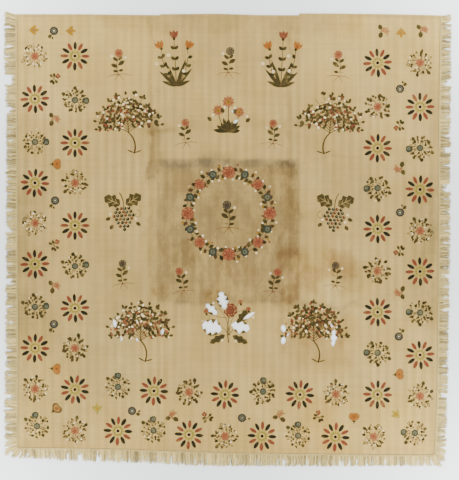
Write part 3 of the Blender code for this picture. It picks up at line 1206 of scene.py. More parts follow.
@dataclass
class Garland(Stencil):
    """A round garland of roses, blue flowers, blossom and leaves on two twined stems."""

    radius: float = 0.205
    roses: int = 8

    def draw(self) -> None:
        """Draws the stems, then the leaves, blossom and flowers along them."""
        for phase in (0.0, 180.0):
            wave = [0.01 * math.sin(math.radians(24.0 * a + phase)) for a in range(121)]
            ring = [around(self.radius + off, 3.0 * a) for a, off in enumerate(wave)]
            for half in (ring[:61], ring[60:]):
                self.add(Dye.BROWN, stem(half, 0.0024))
        for i in range(96):
            turn = 3.75 * i
            side = 1.0 if i % 2 else -1.0
            start = around(self.radius + 0.008 * side, turn)
            lean = turn + (90.0 - side * self.chance.uniform(38.0, 70.0))
            dye = (Dye.OLIVE, Dye.DARK_GREEN, Dye.OLIVE, Dye.BROWN)[i % 4]
            self.add_leaf(*start, lean, self.chance.uniform(0.024, 0.031), dye)
        for i in range(64):
            turn = 5.625 * i + self.chance.uniform(-1.5, 1.5)
            off = (0.026, -0.024, 0.037, -0.034)[i % 4] + self.chance.uniform(-0.006, 0.006)
            eye = Dye.YELLOW if i % 3 == 0 else None
            dye = Dye.RED if i % 5 == 2 else Dye.CREAM
            self.add_blossom(*around(self.radius + off, turn), self.chance.uniform(0.0048, 0.0074), dye, eye)
        for i in range(self.roses):
            turn = 360.0 * i / self.roses
            self.add_rose(*around(self.radius, turn), 0.033 if i % 2 == 0 else 0.027)
            self.add_blue_flower(*around(self.radius + 0.004, turn + 180.0 / self.roses), 0.0215)
            for side in (-1.0, 1.0):
                spot = around(self.radius + 0.03 * side, turn + 90.0 / self.roses)
                self.add(Dye.YELLOW, disc(0.0058, 8), *spot)
                self.add(Dye.BROWN, disc(0.0022, 6), *spot)


@dataclass
class Palmette(Stencil):
    """A bloom over large lobed leaves. Most of its leaves have eaten through, and only their edges stay."""

    x: float = 0.0
    y: float = -0.4
    rim: float = 1.13

    def draw(self) -> None:
        """Draws the stems and buds, the rims of the lost leaves, the whole leaves and the bloom."""
        lost = LOSSES[:5]
        self.add(Dye.BROWN, stem(bow((0.006, -0.118), (0.012, 0.03), 0.06, 9), 0.0052, 0.0034))
        for *end, bulge in (
            (-0.046, 0.06, -0.1), (0.056, 0.05, 0.1), (-0.096, -0.008, -0.12), (0.1, -0.012, 0.12),
        ):
            self.add(Dye.BROWN, stem(bow((0.007, -0.08), end, bulge), 0.003, 0.0018))
        for loss in lost:
            whole = placed(lobed_leaf(loss.length, 0.98 * loss.width, 1), loss.x, loss.y, loss.lean)
            self.add(Dye.OLIVE, [(a - self.x, b - self.y) for a, b in whole])
        for length, width, lobes, *place in (
            (0.086, 0.052, 3, 0.052, -0.026, -32.0), (0.088, 0.04, 3, -0.012, -0.078, 118.0),
            (0.086, 0.04, 3, 0.024, -0.082, -116.0), (0.06, 0.03, 1, -0.058, 0.03, 40.0),
        ):
            self.add(Dye.OLIVE, placed(lobed_leaf(length, width, lobes), 0.0, 0.5 * length), *place)
            self.add(Dye.DARK_GREEN, petal(0.86 * length, 0.003, 0.4, 6), *place)
        self.add_rose(0.014, 0.046, 0.036, Dye.RED)
        for x, y, dye in ((0.104, 0.052, Dye.CORAL), (-0.108, 0.04, Dye.CORAL), (0.064, 0.088, Dye.PINK)):
            self.add(Dye.BROWN, stem(bow((0.02, 0.01), (x, y), 0.1), 0.002))
            self.add_rose(x, y, 0.0125, dye)
            self.add_leaf(x, y - 0.006, 200.0, 0.017, Dye.DARK_GREEN)
        for x, y in ((-0.026, -0.104), (0.04, -0.108), (0.128, 0.01), (-0.124, -0.01), (-0.07, 0.082)):
            self.add_blossom(x, y, 0.0068, Dye.CREAM, Dye.YELLOW)
        for loss in lost:
            self.add(Dye.BARE, [(a - self.x, b - self.y) for a, b in loss.outline(self.rim)])


# Where the stencils go.


@dataclass(frozen=True)
class Placing:
    """One use of a stencil: its middle, its turn in degrees and its size."""

    x: float
    y: float
    turn: float = 0.0
    size: float = 1.0


# The border's stencils: (stencil, its size, and x, y and turn in degrees for each use).
BORDER = (
    (Rosette(), 1.0, (
        (-0.963, 0.702, 3), (-0.963, 0.282, -4), (-0.963, -0.124, 2), (-0.963, -0.544, -2),
        (-0.763, 0.916, -1), (-0.763, 0.482, 0), (-0.763, 0.069, 0), (-0.763, -0.344, 3),
        (-0.763, -0.751, 18), (0.75, 0.882, 4), (0.75, 0.456, -2), (0.75, 0.052, 1), (0.75, -0.364, 2),
        (0.75, -0.776, -2), (0.962, 0.662, 1), (0.962, 0.249, -3), (0.962, -0.161, 2), (0.962, -0.578, 5),
        (-0.368, -0.758, 27), (-0.013, -0.776, 26), (0.362, -0.776, 25), (-0.548, -0.958, 27),
        (-0.193, -0.977, 26), (0.172, -0.984, 27), (0.539, -0.988, 26),
    )),
    (RoseSpray(wear=Wear.FRESH), 1.0, (
        (-0.763, -0.544, 210), (0.75, 0.662, 95), (0.75, -0.158, 300), (-0.193, -0.764, 200),
    )),
    (RoseSpray(seed=2), 1.0, (
        (-0.763, 0.282, 160), (-0.963, -0.748, 75), (-0.763, -0.956, 20), (0.73, -0.987, 130),
        (0.962, 0.882, 250), (0.962, 0.042, 55), (0.962, -0.784, 15), (0.542, -0.774, 30),
        (-0.013, -0.985, 170),
    )),
    (RoseSpray(seed=3, wear=Wear.FADED), 1.0, (
        (-0.963, 0.916, 0), (-0.963, 0.082, 40),
    )),
    (BlueSpray(), 1.0, (
        (-0.763, 0.696, -4), (-0.963, -0.338, 4), (-0.763, -0.134, 6), (0.75, 0.256, 182),
        (0.75, -0.568, 178), (0.962, 0.456, 184), (0.962, -0.367, 176), (0.177, -0.761, 88),
    )),
    (BlueSpray(seed=2, wear=Wear.MIXED), 1.0, (
        (-0.963, 0.486, 0), (-0.953, -0.934, 98), (0.936, -0.968, 176), (-0.548, -0.738, 90),
        (-0.37, -0.956, 92), (0.352, -0.982, 90),
    )),
    (YellowBud(), 2.0, (
        (-0.968, 1.046, -90), (-0.783, 1.042, -90), (0.867, 1.032, 180),
    )),
    (YellowBud(dye=Dye.LIME, line=Dye.YELLOW), 2.0, (
        (-0.653, -0.844, 4), (0.84, -0.874, 45),
    )),
    (BlueRound(), 1.65, (
        (-0.868, 1.042, 0), (-0.862, 0.194, 0), (-0.868, -0.424, 8), (0.862, 0.752, 170),
        (0.862, 0.134, 176), (0.856, -0.486, 182), (-0.478, -0.858, 100), (0.072, -0.893, 96),
    )),
    (BerrySprig(), 1.6, (
        (-0.868, 0.806, 0), (-0.868, -0.028, 20), (0.862, 0.566, 180), (0.862, -0.061, 170),
        (-0.103, -0.893, 100), (0.452, -0.888, 60),
    )),
    (PinkSprig(), 1.95, (
        (-0.868, 0.602, 0), (-0.868, -0.234, 10), (0.777, 1.042, 0), (0.972, 1.046, 12),
        (0.862, 0.352, 185), (0.862, -0.268, 176), (-0.278, -0.884, 80), (0.26, -0.883, 70),
    )),
    (HeartTulip(), 1.7, (
        (-0.851, 0.376, -90), (-0.853, -0.648, -94), (0.862, -0.674, -84), (0.632, -0.886, 0),
    )),
    (HeartTulip(rim=Dye.BROWN, middle=Dye.OCHRE), 1.7, (
        (-0.853, -0.844, -50),
    )),
)


def lost_near(x: float, y: float, reach: float, size: float) -> tuple[Outline, ...]:
    """Finds the losses near a stencil's middle, so that no paint crosses them.

    Args:
        x: How far right the middle is.
        y: How far up the middle is.
        reach: How near a loss has to be.
        size: The stencil's size.

    Returns:
        The losses' outlines about that middle, at that size.
    """
    near = [loss for loss in LOSSES + SMALL_LOSSES if math.hypot(loss.x - x, loss.y - y) < reach]
    return tuple([((a - x) / size, (b - y) / size) for a, b in loss.outline(1.06)] for loss in near)


# The field's stencils: (stencil, then x, y, turn in degrees and size for each use).
FIELD = (
    (TulipSpray(), (-0.262, 0.89, 3.0, 1.25)),
    (TulipSpray(mirrored=True), (0.272, 0.886, -3.0, 1.25)),
    (DaisyClump(bare_spots=lost_near(0.004, 0.612, 0.12, 1.5)), (0.004, 0.612, 0.0, 1.5)),
    (Bough(), (-0.5, 0.59, 4.0, 1.38)),
    (Bough(mirrored=True), (0.515, 0.586, -4.0, 1.38)),
    (Garland(), (0.006, 0.13)),
    (VineCluster(), (-0.52, 0.12, 4.0, 1.3)),
    (VineCluster(mirrored=True), (0.535, 0.115, -4.0, 1.3)),
    (Palmette(), (0.0, -0.4)),
    (Bough(seed=2, fruit=Dye.CORAL, bare_spots=lost_near(-0.435, -0.45, 0.24, 1.38)),
     (-0.435, -0.45, 0.0, 1.38)),
    (Bough(seed=3, bare_spots=lost_near(0.43, -0.454, 0.24, 1.38)), (0.43, -0.454, 0.0, 1.38)),
    (Sprig(), (-0.55, 0.89, 4.0, 1.5), (0.235, -0.2, -8.0, 1.4), (-0.215, 0.545, 6.0, 1.4)),
    (Sprig(mirrored=True), (0.56, 0.882, -4.0, 1.5), (-0.228, -0.196, 8.0, 1.4), (0.232, 0.541, -6.0, 1.4)),
    (Sprig(bloom=Dye.TEAL), (0.004, 0.9, 0.0, 1.5), (-0.53, -0.16, 6.0, 1.4)),
    (Sprig(bloom=Dye.TEAL, mirrored=True), (0.545, -0.17, -6.0, 1.4), (0.006, 0.128, 0.0, 1.6)),
)
Plan = list[tuple[Stencil, list[Placing]]]


def plan_print() -> Plan:
    """Lists every stencil with its placings: the border's, then the field's."""
    border = [(stencil, [Placing(*spot, size) for spot in spots]) for stencil, size, spots in BORDER]
    return border + [(stencil, [Placing(*spot) for spot in spots]) for stencil, *spots in FIELD]


# Finishes.


@dataclass(frozen=True)
class Stain:
    """A patch that multiplies the cloth's colour, used for the stains and for the painted shade along the
    creases: its sides, how soft its edge is, what it multiplies the colour by.
    """

    west: float
    east: float
    south: float
    north: float
    soft: float
    tint: Colour
    ragged: bool = True


# (west, east, south, north, softness, tint, and False where its edges run straight)
STAINS_AND_SHADE = tuple(Stain(*row) for row in (
    # The two long edges, the ends and the slow patches between.
    (-1.08, -0.99, -1.1, 0.9, 0.03, (0.9, 0.9, 0.9)),
    (-1.11, -0.86, -0.42, 0.26, 0.08, (0.77, 0.77, 0.78)),
    (1.0, 1.09, -1.0, 0.9, 0.03, (0.91, 0.91, 0.91)),
    (0.92, 1.11, -0.42, 0.3, 0.08, (0.74, 0.75, 0.76)),
    (-1.08, -0.42, 0.8, 1.12, 0.12, (1.04, 1.03, 0.95)),
    (0.5, 1.08, 0.78, 1.12, 0.12, (1.05, 1.04, 0.96)),
    (-0.7, 1.08, -1.13, -0.78, 0.08, (1.03, 1.02, 0.93)),
    (-1.11, -0.76, -1.1, -0.4, 0.1, (0.87, 0.87, 0.8)),
    (-0.3, -0.14, -1.04, -0.74, 0.06, (1.08, 1.09, 1.12)),
    (0.37, 0.56, -1.08, -0.78, 0.035, (0.9, 0.83, 0.72)),
    (-0.8, -0.38, -0.86, -0.26, 0.14, (0.88, 0.9, 0.94)),
    (0.48, 0.76, -0.05, 0.32, 0.1, (0.91, 0.92, 0.96)),
    (-0.33, 0.34, 0.86, 1.12, 0.08, (0.91, 0.91, 0.92)),
    # The packet the cloth was folded into, darker round its rim.
    (-0.34, 0.357, -0.316, 0.402, 0.012, (0.74, 0.725, 0.745), False),
    (-0.366, 0.366, -0.33, 0.404, 0.036, (0.81, 0.79, 0.8)),
    (-0.372, -0.335, -0.29, 0.3, 0.01, (0.86, 0.85, 0.86)),
    (-0.338, 0.357, 0.36, 0.4, 0.012, (0.74, 0.78, 0.98), False),
    (-0.338, -0.06, 0.348, 0.398, 0.018, (0.82, 0.84, 0.93)),
    (0.18, 0.35, 0.33, 0.392, 0.016, (0.8, 0.79, 0.8)),
    (0.267, 0.357, -0.1, 0.396, 0.014, (0.84, 0.81, 0.77)),
    (0.267, 0.352, -0.325, -0.06, 0.018, (0.76, 0.69, 0.6)),
    (-0.24, -0.165, -0.12, 0.005, 0.018, (0.78, 0.76, 0.74)),
    (-0.38, -0.29, -0.3, -0.24, 0.018, (0.8, 0.74, 0.66)),
    (-0.125, -0.03, -0.315, -0.24, 0.02, (0.76, 0.69, 0.58)),
    (-0.06, 0.12, -0.2, -0.08, 0.04, (0.88, 0.84, 0.78)),
    (-0.36, -0.12, -0.44, -0.31, 0.04, (0.87, 0.87, 0.88)),
    # Streaks beside and above it.
    (-0.392, -0.338, 0.281, 0.646, 0.014, (0.7, 0.68, 0.7)),
    (-0.41, -0.248, 0.545, 0.577, 0.014, (0.8, 0.76, 0.7)),
    (-0.392, -0.374, -0.2, 1.116, 0.008, (0.88, 0.84, 0.8)),
    (0.3, 0.324, 0.1, 1.116, 0.01, (0.88, 0.86, 0.84)),
    # The tide mark to its right.
    (0.33, 0.56, -0.2, -0.04, 0.03, (0.86, 0.8, 0.7)),
    (0.52, 0.64, -0.17, -0.05, 0.022, (0.78, 0.71, 0.62)),
    (0.56, 0.69, -0.25, -0.12, 0.026, (0.86, 0.81, 0.74)),
    (0.36, 0.47, -0.25, -0.16, 0.022, (0.84, 0.77, 0.68)),
    (0.47, 0.65, -0.3, -0.19, 0.026, (1.1, 1.13, 1.16)),
    (0.36, 0.6, -0.36, -0.3, 0.018, (0.9, 0.9, 0.94)),
    (0.33, 0.64, -0.64, -0.36, 0.05, (0.86, 0.81, 0.74)),
    (0.56, 0.6, -0.56, -0.35, 0.02, (0.82, 0.76, 0.68)),
    (0.262, 0.3, -0.56, -0.33, 0.018, (0.86, 0.82, 0.78)),
    (0.33, 0.47, -0.545, -0.455, 0.022, (0.84, 0.79, 0.74)),
    # Painted shade along the creases of the old folds, a darker band along the top edge, a faint darker
    # middle and a darker band at the foot.
    (-0.638, 0.662, 1.04, 1.125, 0.026, (0.86, 0.85, 0.84)),
    (-0.7, 0.72, 0.556, 0.61, 0.02, (0.91, 0.9, 0.9)),
    (-1.06, -0.56, 0.545, 0.63, 0.03, (0.9, 0.89, 0.88)),
    (-1.06, 1.06, 0.388, 0.402, 0.006, (0.92, 0.92, 0.92)),
    (-0.36, 0.712, -0.325, -0.303, 0.006, (0.84, 0.85, 0.88)),
    (-0.7, 0.7, -0.3, 0.56, 0.12, (0.93, 0.93, 0.95)),
    (-1.06, 1.06, -1.1, -1.01, 0.04, (0.96, 0.93, 0.9)),
))


@dataclass(frozen=True)
class Weathering:
    """The cloth's colour all over: woven stripes, uneven fading, stains, and painted shade along its creases.
    """

    cream: Colour = (0.44, 0.302, 0.089)
    stripe_share: float = 0.05
    # (stripe pitch, the middle of a light stripe) for each loom width.
    stripes: tuple[tuple[float, float], ...] = ((0.0442, -0.6305), (0.0444, 0.0235), (0.0448, 0.7305))
    wander: float = 0.16
    blot_grain: tuple[float, float] = (11.0, 6.0)
    warp_grain: tuple[float, float] = (62.0, 1.6)
    weft_grain: tuple[float, float] = (2.2, 70.0)
    thread_grain: tuple[float, float] = (420.0, 260.0)

    def group(self) -> Tree:
        """Writes the node group that gives the cloth's colour at a place.

        Returns:
            The group.
        """
        nodes = new_group("weathered_cloth", "ShaderNodeTree", (), ("Colour", "Color"))
        place = nodes.place()
        axes = {False: nodes.split(place), True: nodes.split(self.ragged_place(nodes, place))}
        colour = self.plain_colour(nodes, place, axes[False]["X"])
        blot = nodes.ease(nodes.grain(place, self.blot_grain, 7.0, 0.7), 0.34, 0.66, (0.38, 1.24))
        patch = self.patch_group()
        # Each patch multiplies the colour: the stains, and the painted shade along the creases.
        for stain_and_shade in STAINS_AND_SHADE:
            x, y, _ = axes[stain_and_shade.ragged]
            inputs = {"X": x, "Y": y, "West": stain_and_shade.west, "East": stain_and_shade.east, "South": stain_and_shade.south,
                      "North": stain_and_shade.north, "Soft": stain_and_shade.soft}
            share = nodes.times(nodes.make("ShaderNodeGroup", inputs, node_tree=patch), blot)
            colour = nodes.blend(share, colour, stain_and_shade.tint, "MULTIPLY")
        return nodes.result(colour)

    def ragged_place(self, nodes: Nodes, place: Socket) -> Socket:
        """A place pushed about by noise, so that what reads it gets a wandering edge.

        Args:
            nodes: The tree being written.
            place: The true place.

        Returns:
            The place after the push.
        """
        inputs = {"Vector": place, "Scale": 5.5, "Detail": 4.0, "Roughness": 0.6}
        colour = nodes.add("ShaderNodeTexNoise", inputs).outputs["Color"]
        push = nodes.vector("SCALE", nodes.vector("SUBTRACT", colour, (0.5, 0.5, 0.5)), self.wander)
        return nodes.vector("ADD", place, push)

    def patch_group(self) -> Tree:
        """Writes the group for a soft-edged oblong: 1 inside, 0 outside.

        Returns:
            The group.
        """
        labels = ("X", "Y", "West", "East", "South", "North", "Soft")
        inputs = tuple((label, "Float", 0.0) for label in labels)
        nodes = new_group("soft_patch", "ShaderNodeTree", inputs, ("Share", "Float"))
        share = None
        for end, axis, sign in zip(labels[2:6], "XXYY", (1.0, -1.0, 1.0, -1.0)):
            off = nodes.math("SUBTRACT", nodes.given[axis], nodes.given[end])
            rise = nodes.ease(nodes.math("DIVIDE", nodes.times(off, sign), nodes.given["Soft"]), -1.0, 1.0)
            share = rise if share is None else nodes.times(share, rise)
        return nodes.result(share)

    def plain_colour(self, nodes: Nodes, place: Socket, x: Socket) -> Socket:
        """The unstained cloth: cream with its stripes, streaks and slow fading.

        Args:
            nodes: The tree being written.
            place: The place on the cloth.
            x: That place's X.

        Returns:
            The colour there.
        """
        in_left = nodes.math("LESS_THAN", x, SEAM_LEFT_X)
        in_right = nodes.math("GREATER_THAN", x, SEAM_RIGHT_X)
        in_centre = nodes.math("SUBTRACT", nodes.math("SUBTRACT", 1.0, in_left), in_right)
        wave = None
        for (pitch, crest), share in zip(self.stripes, (in_left, in_centre, in_right)):
            turn = nodes.times(nodes.math("SUBTRACT", x, crest), TAU / pitch)
            beat = nodes.times(nodes.math("COSINE", turn), share)
            wave = beat if wave is None else nodes.math("ADD", wave, beat)
        patchy = nodes.ease(nodes.noise(place, 1.7, 2.0), 0.35, 0.65, (0.55, 1.35))
        band = nodes.times(nodes.ease(wave, -0.6, 0.6, (-self.stripe_share, self.stripe_share)), patchy)
        tone = nodes.math("ADD", band, 1.0)
        for part, low, high in (
            (nodes.grain(place, self.warp_grain, 3.0, 0.6), 0.925, 1.075),
            (nodes.grain(place, self.weft_grain, 3.0, 0.6), 0.955, 1.045),
            (nodes.noise(place, 2.6, 6.0, 0.6), 0.86, 1.13),
            (nodes.grain(place, self.thread_grain, 2.0, 0.5), 0.93, 1.07),
        ):
            tone = nodes.times(tone, nodes.ease(part, 0.25, 0.75, (low, high)))
        hue = nodes.ease(nodes.noise(place, 5.0, 4.0, 0.6), 0.32, 0.68, (0.93, 1.07))
        warm = nodes.times(tone, nodes.math("POWER", hue, -0.16))
        tint = nodes.make("ShaderNodeCombineColor", {0: warm, 1: tone, 2: nodes.times(tone, hue)})
        return nodes.blend(1.0, self.cream, tint, "MULTIPLY")


@dataclass(frozen=True)
class Weave:
    """The cloth's weave as a bump: plain tabby, with a slub now and then."""

    thread_pitch: float = 0.0016
    height: float = 0.00018
    slub_grain: tuple[float, float] = (60.0, 900.0)
    slub_share: float = 3.0

    def bump(self, nodes: Nodes, strength: float) -> Socket:
        """Writes the weave's bump.

        Args:
            nodes: The material's tree.
            strength: How strongly it shows.

        Returns:
            The bumped normal.
        """
        place = nodes.place()
        axes = nodes.split(place)
        warp, weft = (nodes.math("SINE", nodes.times(axes[i], TAU / self.thread_pitch)) for i in (0, 1))
        slub = nodes.times(nodes.grain(place, self.slub_grain, 2.0, 0.5), self.slub_share)
        height = nodes.math("ADD", nodes.times(warp, weft), slub)
        return nodes.make("ShaderNodeBump", {"Height": height, "Strength": strength, "Distance": self.height})


def new_material(name: str, roughness: float, sheen: float,
                 gloss: float = 0.2) -> tuple[Material, Nodes, Node]:
    """Starts a cloth-like material.

    Args:
        name: Its name.
        roughness: The surface's roughness.
        sheen: How much its loose fibres catch light.
        gloss: How strongly it reflects.

    Returns:
        The material, its tree and its Principled node.
    """
    material = bpy.data.materials.new(name)
    material.use_nodes = True
    shader = material.node_tree.nodes["Principled BSDF"]
    settings = {"Roughness": roughness, "Specular IOR Level": gloss, "Sheen Weight": sheen,
                "Sheen Roughness": 0.6}
    for label, value in settings.items():
        shader.inputs[label].default_value = value
    return material, Nodes(material.node_tree), shader


@dataclass(frozen=True)
class ClothFinish:
    """Striped hand-loomed cotton."""

    name: str
    roughness: float = 0.92
    sheen: float = 0.05
    weave_strength: float = 0.55

    def material(self, cloth_colour_and_shade: Tree, weave: Weave) -> Material:
        """Makes the cloth's material.

        Args:
            cloth_colour_and_shade: The group that gives the cloth's colour.
            weave: The cloth's weave.

        Returns:
            The material.
        """
        material, nodes, shader = new_material(self.name, self.roughness, self.sheen)
        nodes.feed(shader.inputs["Base Color"], nodes.make("ShaderNodeGroup", node_tree=cloth_colour_and_shade))
        nodes.feed(shader.inputs["Normal"], weave.bump(nodes, self.weave_strength))
        return material


@dataclass(frozen=True)
class PaintFinish:
    """A stencil paint: its colour, how well it covers, and how worn it is."""

    dye: Dye
    colour: Colour
    cover: float = 0.94
    wear: float = 0.35
    roughness: float = 0.85
    gloss: float = 0.03
    speck_share: float = 0.55
    weave_strength: float = 0.4

    def material(self, cloth_colour_and_shade: Tree, weave: Weave) -> Material:
        """Makes the paint's material: the cloth's colour shows where the paint is thin.

        Args:
            cloth_colour_and_shade: The group that gives the cloth's colour.
            weave: The cloth's weave.

        Returns:
            The material.
        """
        material, nodes, shader = new_material(f"paint_{self.dye.value}", self.roughness, 0.0, self.gloss)
        place = nodes.place()
        cloth = nodes.make("ShaderNodeGroup", node_tree=cloth_colour_and_shade)
        rubbed = nodes.ease(nodes.noise(place, 26.0, 4.0, 0.62), 0.5, 0.74)
        dabbed = nodes.ease(nodes.noise(place, 210.0, 3.0, 0.6), 0.56, 0.72)
        specks = nodes.times(dabbed, self.speck_share * self.wear)
        worn = nodes.math("ADD", nodes.times(rubbed, self.wear), specks)
        share = nodes.math("SUBTRACT", self.cover, worn, clamp=True)
        tone = nodes.ease(nodes.noise(place, 60.0, 2.0), 0.3, 0.7, (0.86, 1.14))
        nodes.feed(shader.inputs["Base Color"], nodes.blend(share, cloth, nodes.shaded(self.colour, tone)))
        nodes.feed(shader.inputs["Normal"], weave.bump(nodes, self.weave_strength))
        return material


# (dye, colour, cover, wear)
PAINTS = tuple(PaintFinish(*row) for row in (
    (Dye.RED, (0.152, 0.035, 0.019), 0.97, 0.22),
    (Dye.NAVY, (0.008, 0.01, 0.008), 0.98, 0.1),
    (Dye.BLACK, (0.005, 0.004, 0.004), 0.99, 0.05),
    (Dye.CORAL, (0.232, 0.06, 0.029), 0.96, 0.25),
    (Dye.WINE, (0.085, 0.018, 0.01), 0.94, 0.25),
    (Dye.LIME, (0.25, 0.2, 0.026), 0.92, 0.3),
    (Dye.OLIVE, (0.036, 0.029, 0.01), 0.96, 0.26),
    (Dye.DARK_GREEN, (0.018, 0.017, 0.007), 0.97, 0.2),
    (Dye.BROWN, (0.048, 0.026, 0.011), 0.95, 0.3),
    (Dye.TEAL, (0.02, 0.03, 0.023), 0.96, 0.2),
    (Dye.SLATE, (0.017, 0.019, 0.022), 0.97, 0.15),
    (Dye.PALE_BLUE, (0.082, 0.092, 0.056), 0.94, 0.3),
    (Dye.CREAM, (0.8, 0.64, 0.35), 0.86, 0.5),
    (Dye.PINK, (0.235, 0.088, 0.034), 0.92, 0.4),
    (Dye.YELLOW, (0.265, 0.135, 0.006), 0.96, 0.2),
    (Dye.ORANGE, (0.28, 0.088, 0.012), 0.96, 0.22),
    (Dye.OCHRE, (0.225, 0.102, 0.022), 0.95, 0.25),
))


@dataclass(frozen=True)
class YarnFinish:
    """Undyed cotton yarn, each yarn a little different in tone, with painted light on the upper yarns and
    painted shade on the lower ones.
    """

    name: str
    light: Colour = (0.86, 0.68, 0.25)
    dark: Colour = (0.13, 0.088, 0.026)
    roughness: float = 0.95
    sheen: float = 0.1
    shade_share: float = 0.85
    dust_share: float = 0.22
    twist_pitch: float = 0.0019
    twist_height: float = 0.0002
    twist_strength: float = 0.45

    def material(self) -> Material:
        """Makes the yarn's material from each yarn's shade (its own tone, plus painted light on upper yarns
        and painted shade on lower ones), with its twist as a bump.

        Returns:
            The material.
        """
        material, nodes, shader = new_material(self.name, self.roughness, self.sheen)
        shade = nodes.add("ShaderNodeAttribute", attribute_name="shade").outputs["Fac"]
        place = nodes.place()
        dust = nodes.times(nodes.noise(place, 34.0, 3.0, 0.6), self.dust_share)
        share = nodes.math("ADD", nodes.times(shade, self.shade_share), dust, clamp=True)
        nodes.feed(shader.inputs["Base Color"], nodes.blend(share, self.dark, self.light))
        x, y, _ = nodes.split(place)
        twist = nodes.math("SINE", nodes.times(nodes.math("ADD", x, y), TAU / self.twist_pitch))
        bump = {"Height": twist, "Strength": self.twist_strength, "Distance": self.twist_height}
        nodes.feed(shader.inputs["Normal"], nodes.make("ShaderNodeBump", bump))
        return material


@dataclass(frozen=True)
class ThreadFinish:
    """Plain sewing thread, with fine darker wraps."""

    name: str
    colour: Colour
    roughness: float = 0.9
    sheen: float = 0.05

    def material(self) -> Material:
        """Makes the thread's material.

        Returns:
            The material.
        """
        material, nodes, shader = new_material(self.name, self.roughness, self.sheen)
        tone = nodes.ease(nodes.noise(nodes.place(), 300.0, 2.0), 0.3, 0.7, (0.78, 1.1))
        nodes.feed(shader.inputs["Base Color"], nodes.shaded(self.colour, tone))
        return material


# The cloth.


@dataclass
class LoomWidth:
    """One loom width: a closed thin sheet with its hem turned at the top and its losses open."""

    side: Side
    left_x: float
    right_x: float
    lie: Lie
    thickness: float = 0.0012
    hem_thickness: float = 0.0024
    hem_depth: float = 0.011
    hem_fall: float = 0.002
    pitch: float = 0.012
    grid_top: float = 1.13
    hem_margin: float = 0.002

    @property
    def name(self) -> str:
        """The piece's name."""
        return f"cloth_{self.side.value}"

    def left(self, y: float) -> float:
        """The left edge at a height."""
        return left_edge(y) if self.side is Side.LEFT else self.left_x

    def right(self, y: float) -> float:
        """The right edge at a height."""
        return right_edge(y) if self.side is Side.RIGHT else self.right_x

    def top(self, x: float) -> float:
        """The hemmed edge's height at a place across."""
        return read_table(END_EDGES[self.side], x, 1)

    def foot(self, x: float) -> float:
        """The foot's height at a place across."""
        return read_table(END_EDGES[self.side], x, 2)

    def losses(self) -> list[Outline]:
        """The outlines of the holes through this width."""
        return [loss.outline() for loss in LOSSES + SMALL_LOSSES if loss.side is self.side]

    def rim(self) -> Outline:
        """The cut edge all round, anticlockwise, a little uneven.

        Returns:
            The points.
        """
        low_left, low_right = self.foot(self.left_x), self.foot(self.right_x)
        high_left, high_right = self.top(self.left_x), self.top(self.right_x)
        foot = steps(self.left(low_left), self.right(low_right), self.pitch)
        top = steps(self.right(high_right), self.left(high_left), self.pitch)
        points = [(x, self.foot(x)) for x in foot]
        points += [(self.right(y), y) for y in steps(low_right, high_right, self.pitch)[1:]]
        points += [(x, self.top(x)) for x in top[1:]]
        points += [(self.left(y), y) for y in steps(high_left, low_left, self.pitch)[1:-1]]
        return points

    def hem_lines(self) -> list[Outline]:
        """The two lines where the hem's turned edge steps down to single cloth.

        Returns:
            Both lines, the upper one first.
        """
        lines = []
        for depth in (self.hem_depth, self.hem_depth + self.hem_fall):
            start = self.left(self.top(self.left_x)) + self.hem_margin
            end = self.right(self.top(self.right_x)) - self.hem_margin
            lines.append([(x, self.top(x) - depth) for x in steps(start, end, self.pitch)])
        return lines

    def inner_grid(self) -> Outline:
        """Points all over the cloth, clear of its edges, its hem and its losses.

        Returns:
            The points.
        """
        clear, gap = 0.45 * self.pitch, 0.25 * self.pitch
        holes = self.losses()
        foot = min(self.foot(self.left_x), self.foot(self.right_x))
        points = []
        for y in steps(foot, self.grid_top, self.pitch):
            for x in steps(self.left_x, self.right_x, self.pitch):
                top = self.top(x) - self.hem_depth - self.hem_fall - clear
                inside = self.left(y) + clear < x < self.right(y) - clear and self.foot(x) + clear < y < top
                if inside and all(math.hypot(x - a, y - b) > gap for hole in holes for a, b in hole):
                    points.append((x, y))
        return points

    def thickness_at(self, x: float, y: float) -> float:
        """The cloth's thickness at a point, doubled within the hem."""
        share = 1.0 - smooth((self.top(x) - y - self.hem_depth) / self.hem_fall)
        return self.thickness + (self.hem_thickness - self.thickness) * share

    def build(self, material: Material) -> Piece:
        """Makes the loom width.

        Args:
            material: The cloth's material.

        Returns:
            The finished object.
        """
        rim, holes, lines = self.rim(), self.losses(), self.hem_lines()
        points, faces, edges = list(rim), [list(range(len(rim)))], []
        for hole in holes:
            faces.append(list(range(len(points), len(points) + len(hole))))
            points += hole
        for line in lines:
            edges += [(len(points) + i, len(points) + i + 1) for i in range(len(line) - 1)]
            points += line
        points += self.inner_grid()
        flat = delaunay_2d_cdt([Vector(p) for p in points], edges, faces, 1, 1e-6, True)
        verts, triangles, origins = flat[0], flat[2], flat[5]
        kept = [triangle for triangle, origin in zip(triangles, origins) if 0 in origin and max(origin) == 0]
        mesh = self.close(verts, kept)
        mesh.materials.append(material)
        add_bake_map(mesh)
        return add_object(self.name, mesh)

    def close(self, verts: list, triangles: list) -> Mesh:
        """Gives flat triangles an upper side, an underside and walls round every edge.

        Args:
            verts: The flat points.
            triangles: Their triangles, anticlockwise.

        Returns:
            The closed mesh.
        """
        under = [self.lie.under(v.x, v.y) for v in verts]
        places = [(v.x, v.y, z + self.thickness_at(v.x, v.y)) for v, z in zip(verts, under)]
        places += [(v.x, v.y, z) for v, z in zip(verts, under)]
        return closed_slab(self.name, places, triangles)


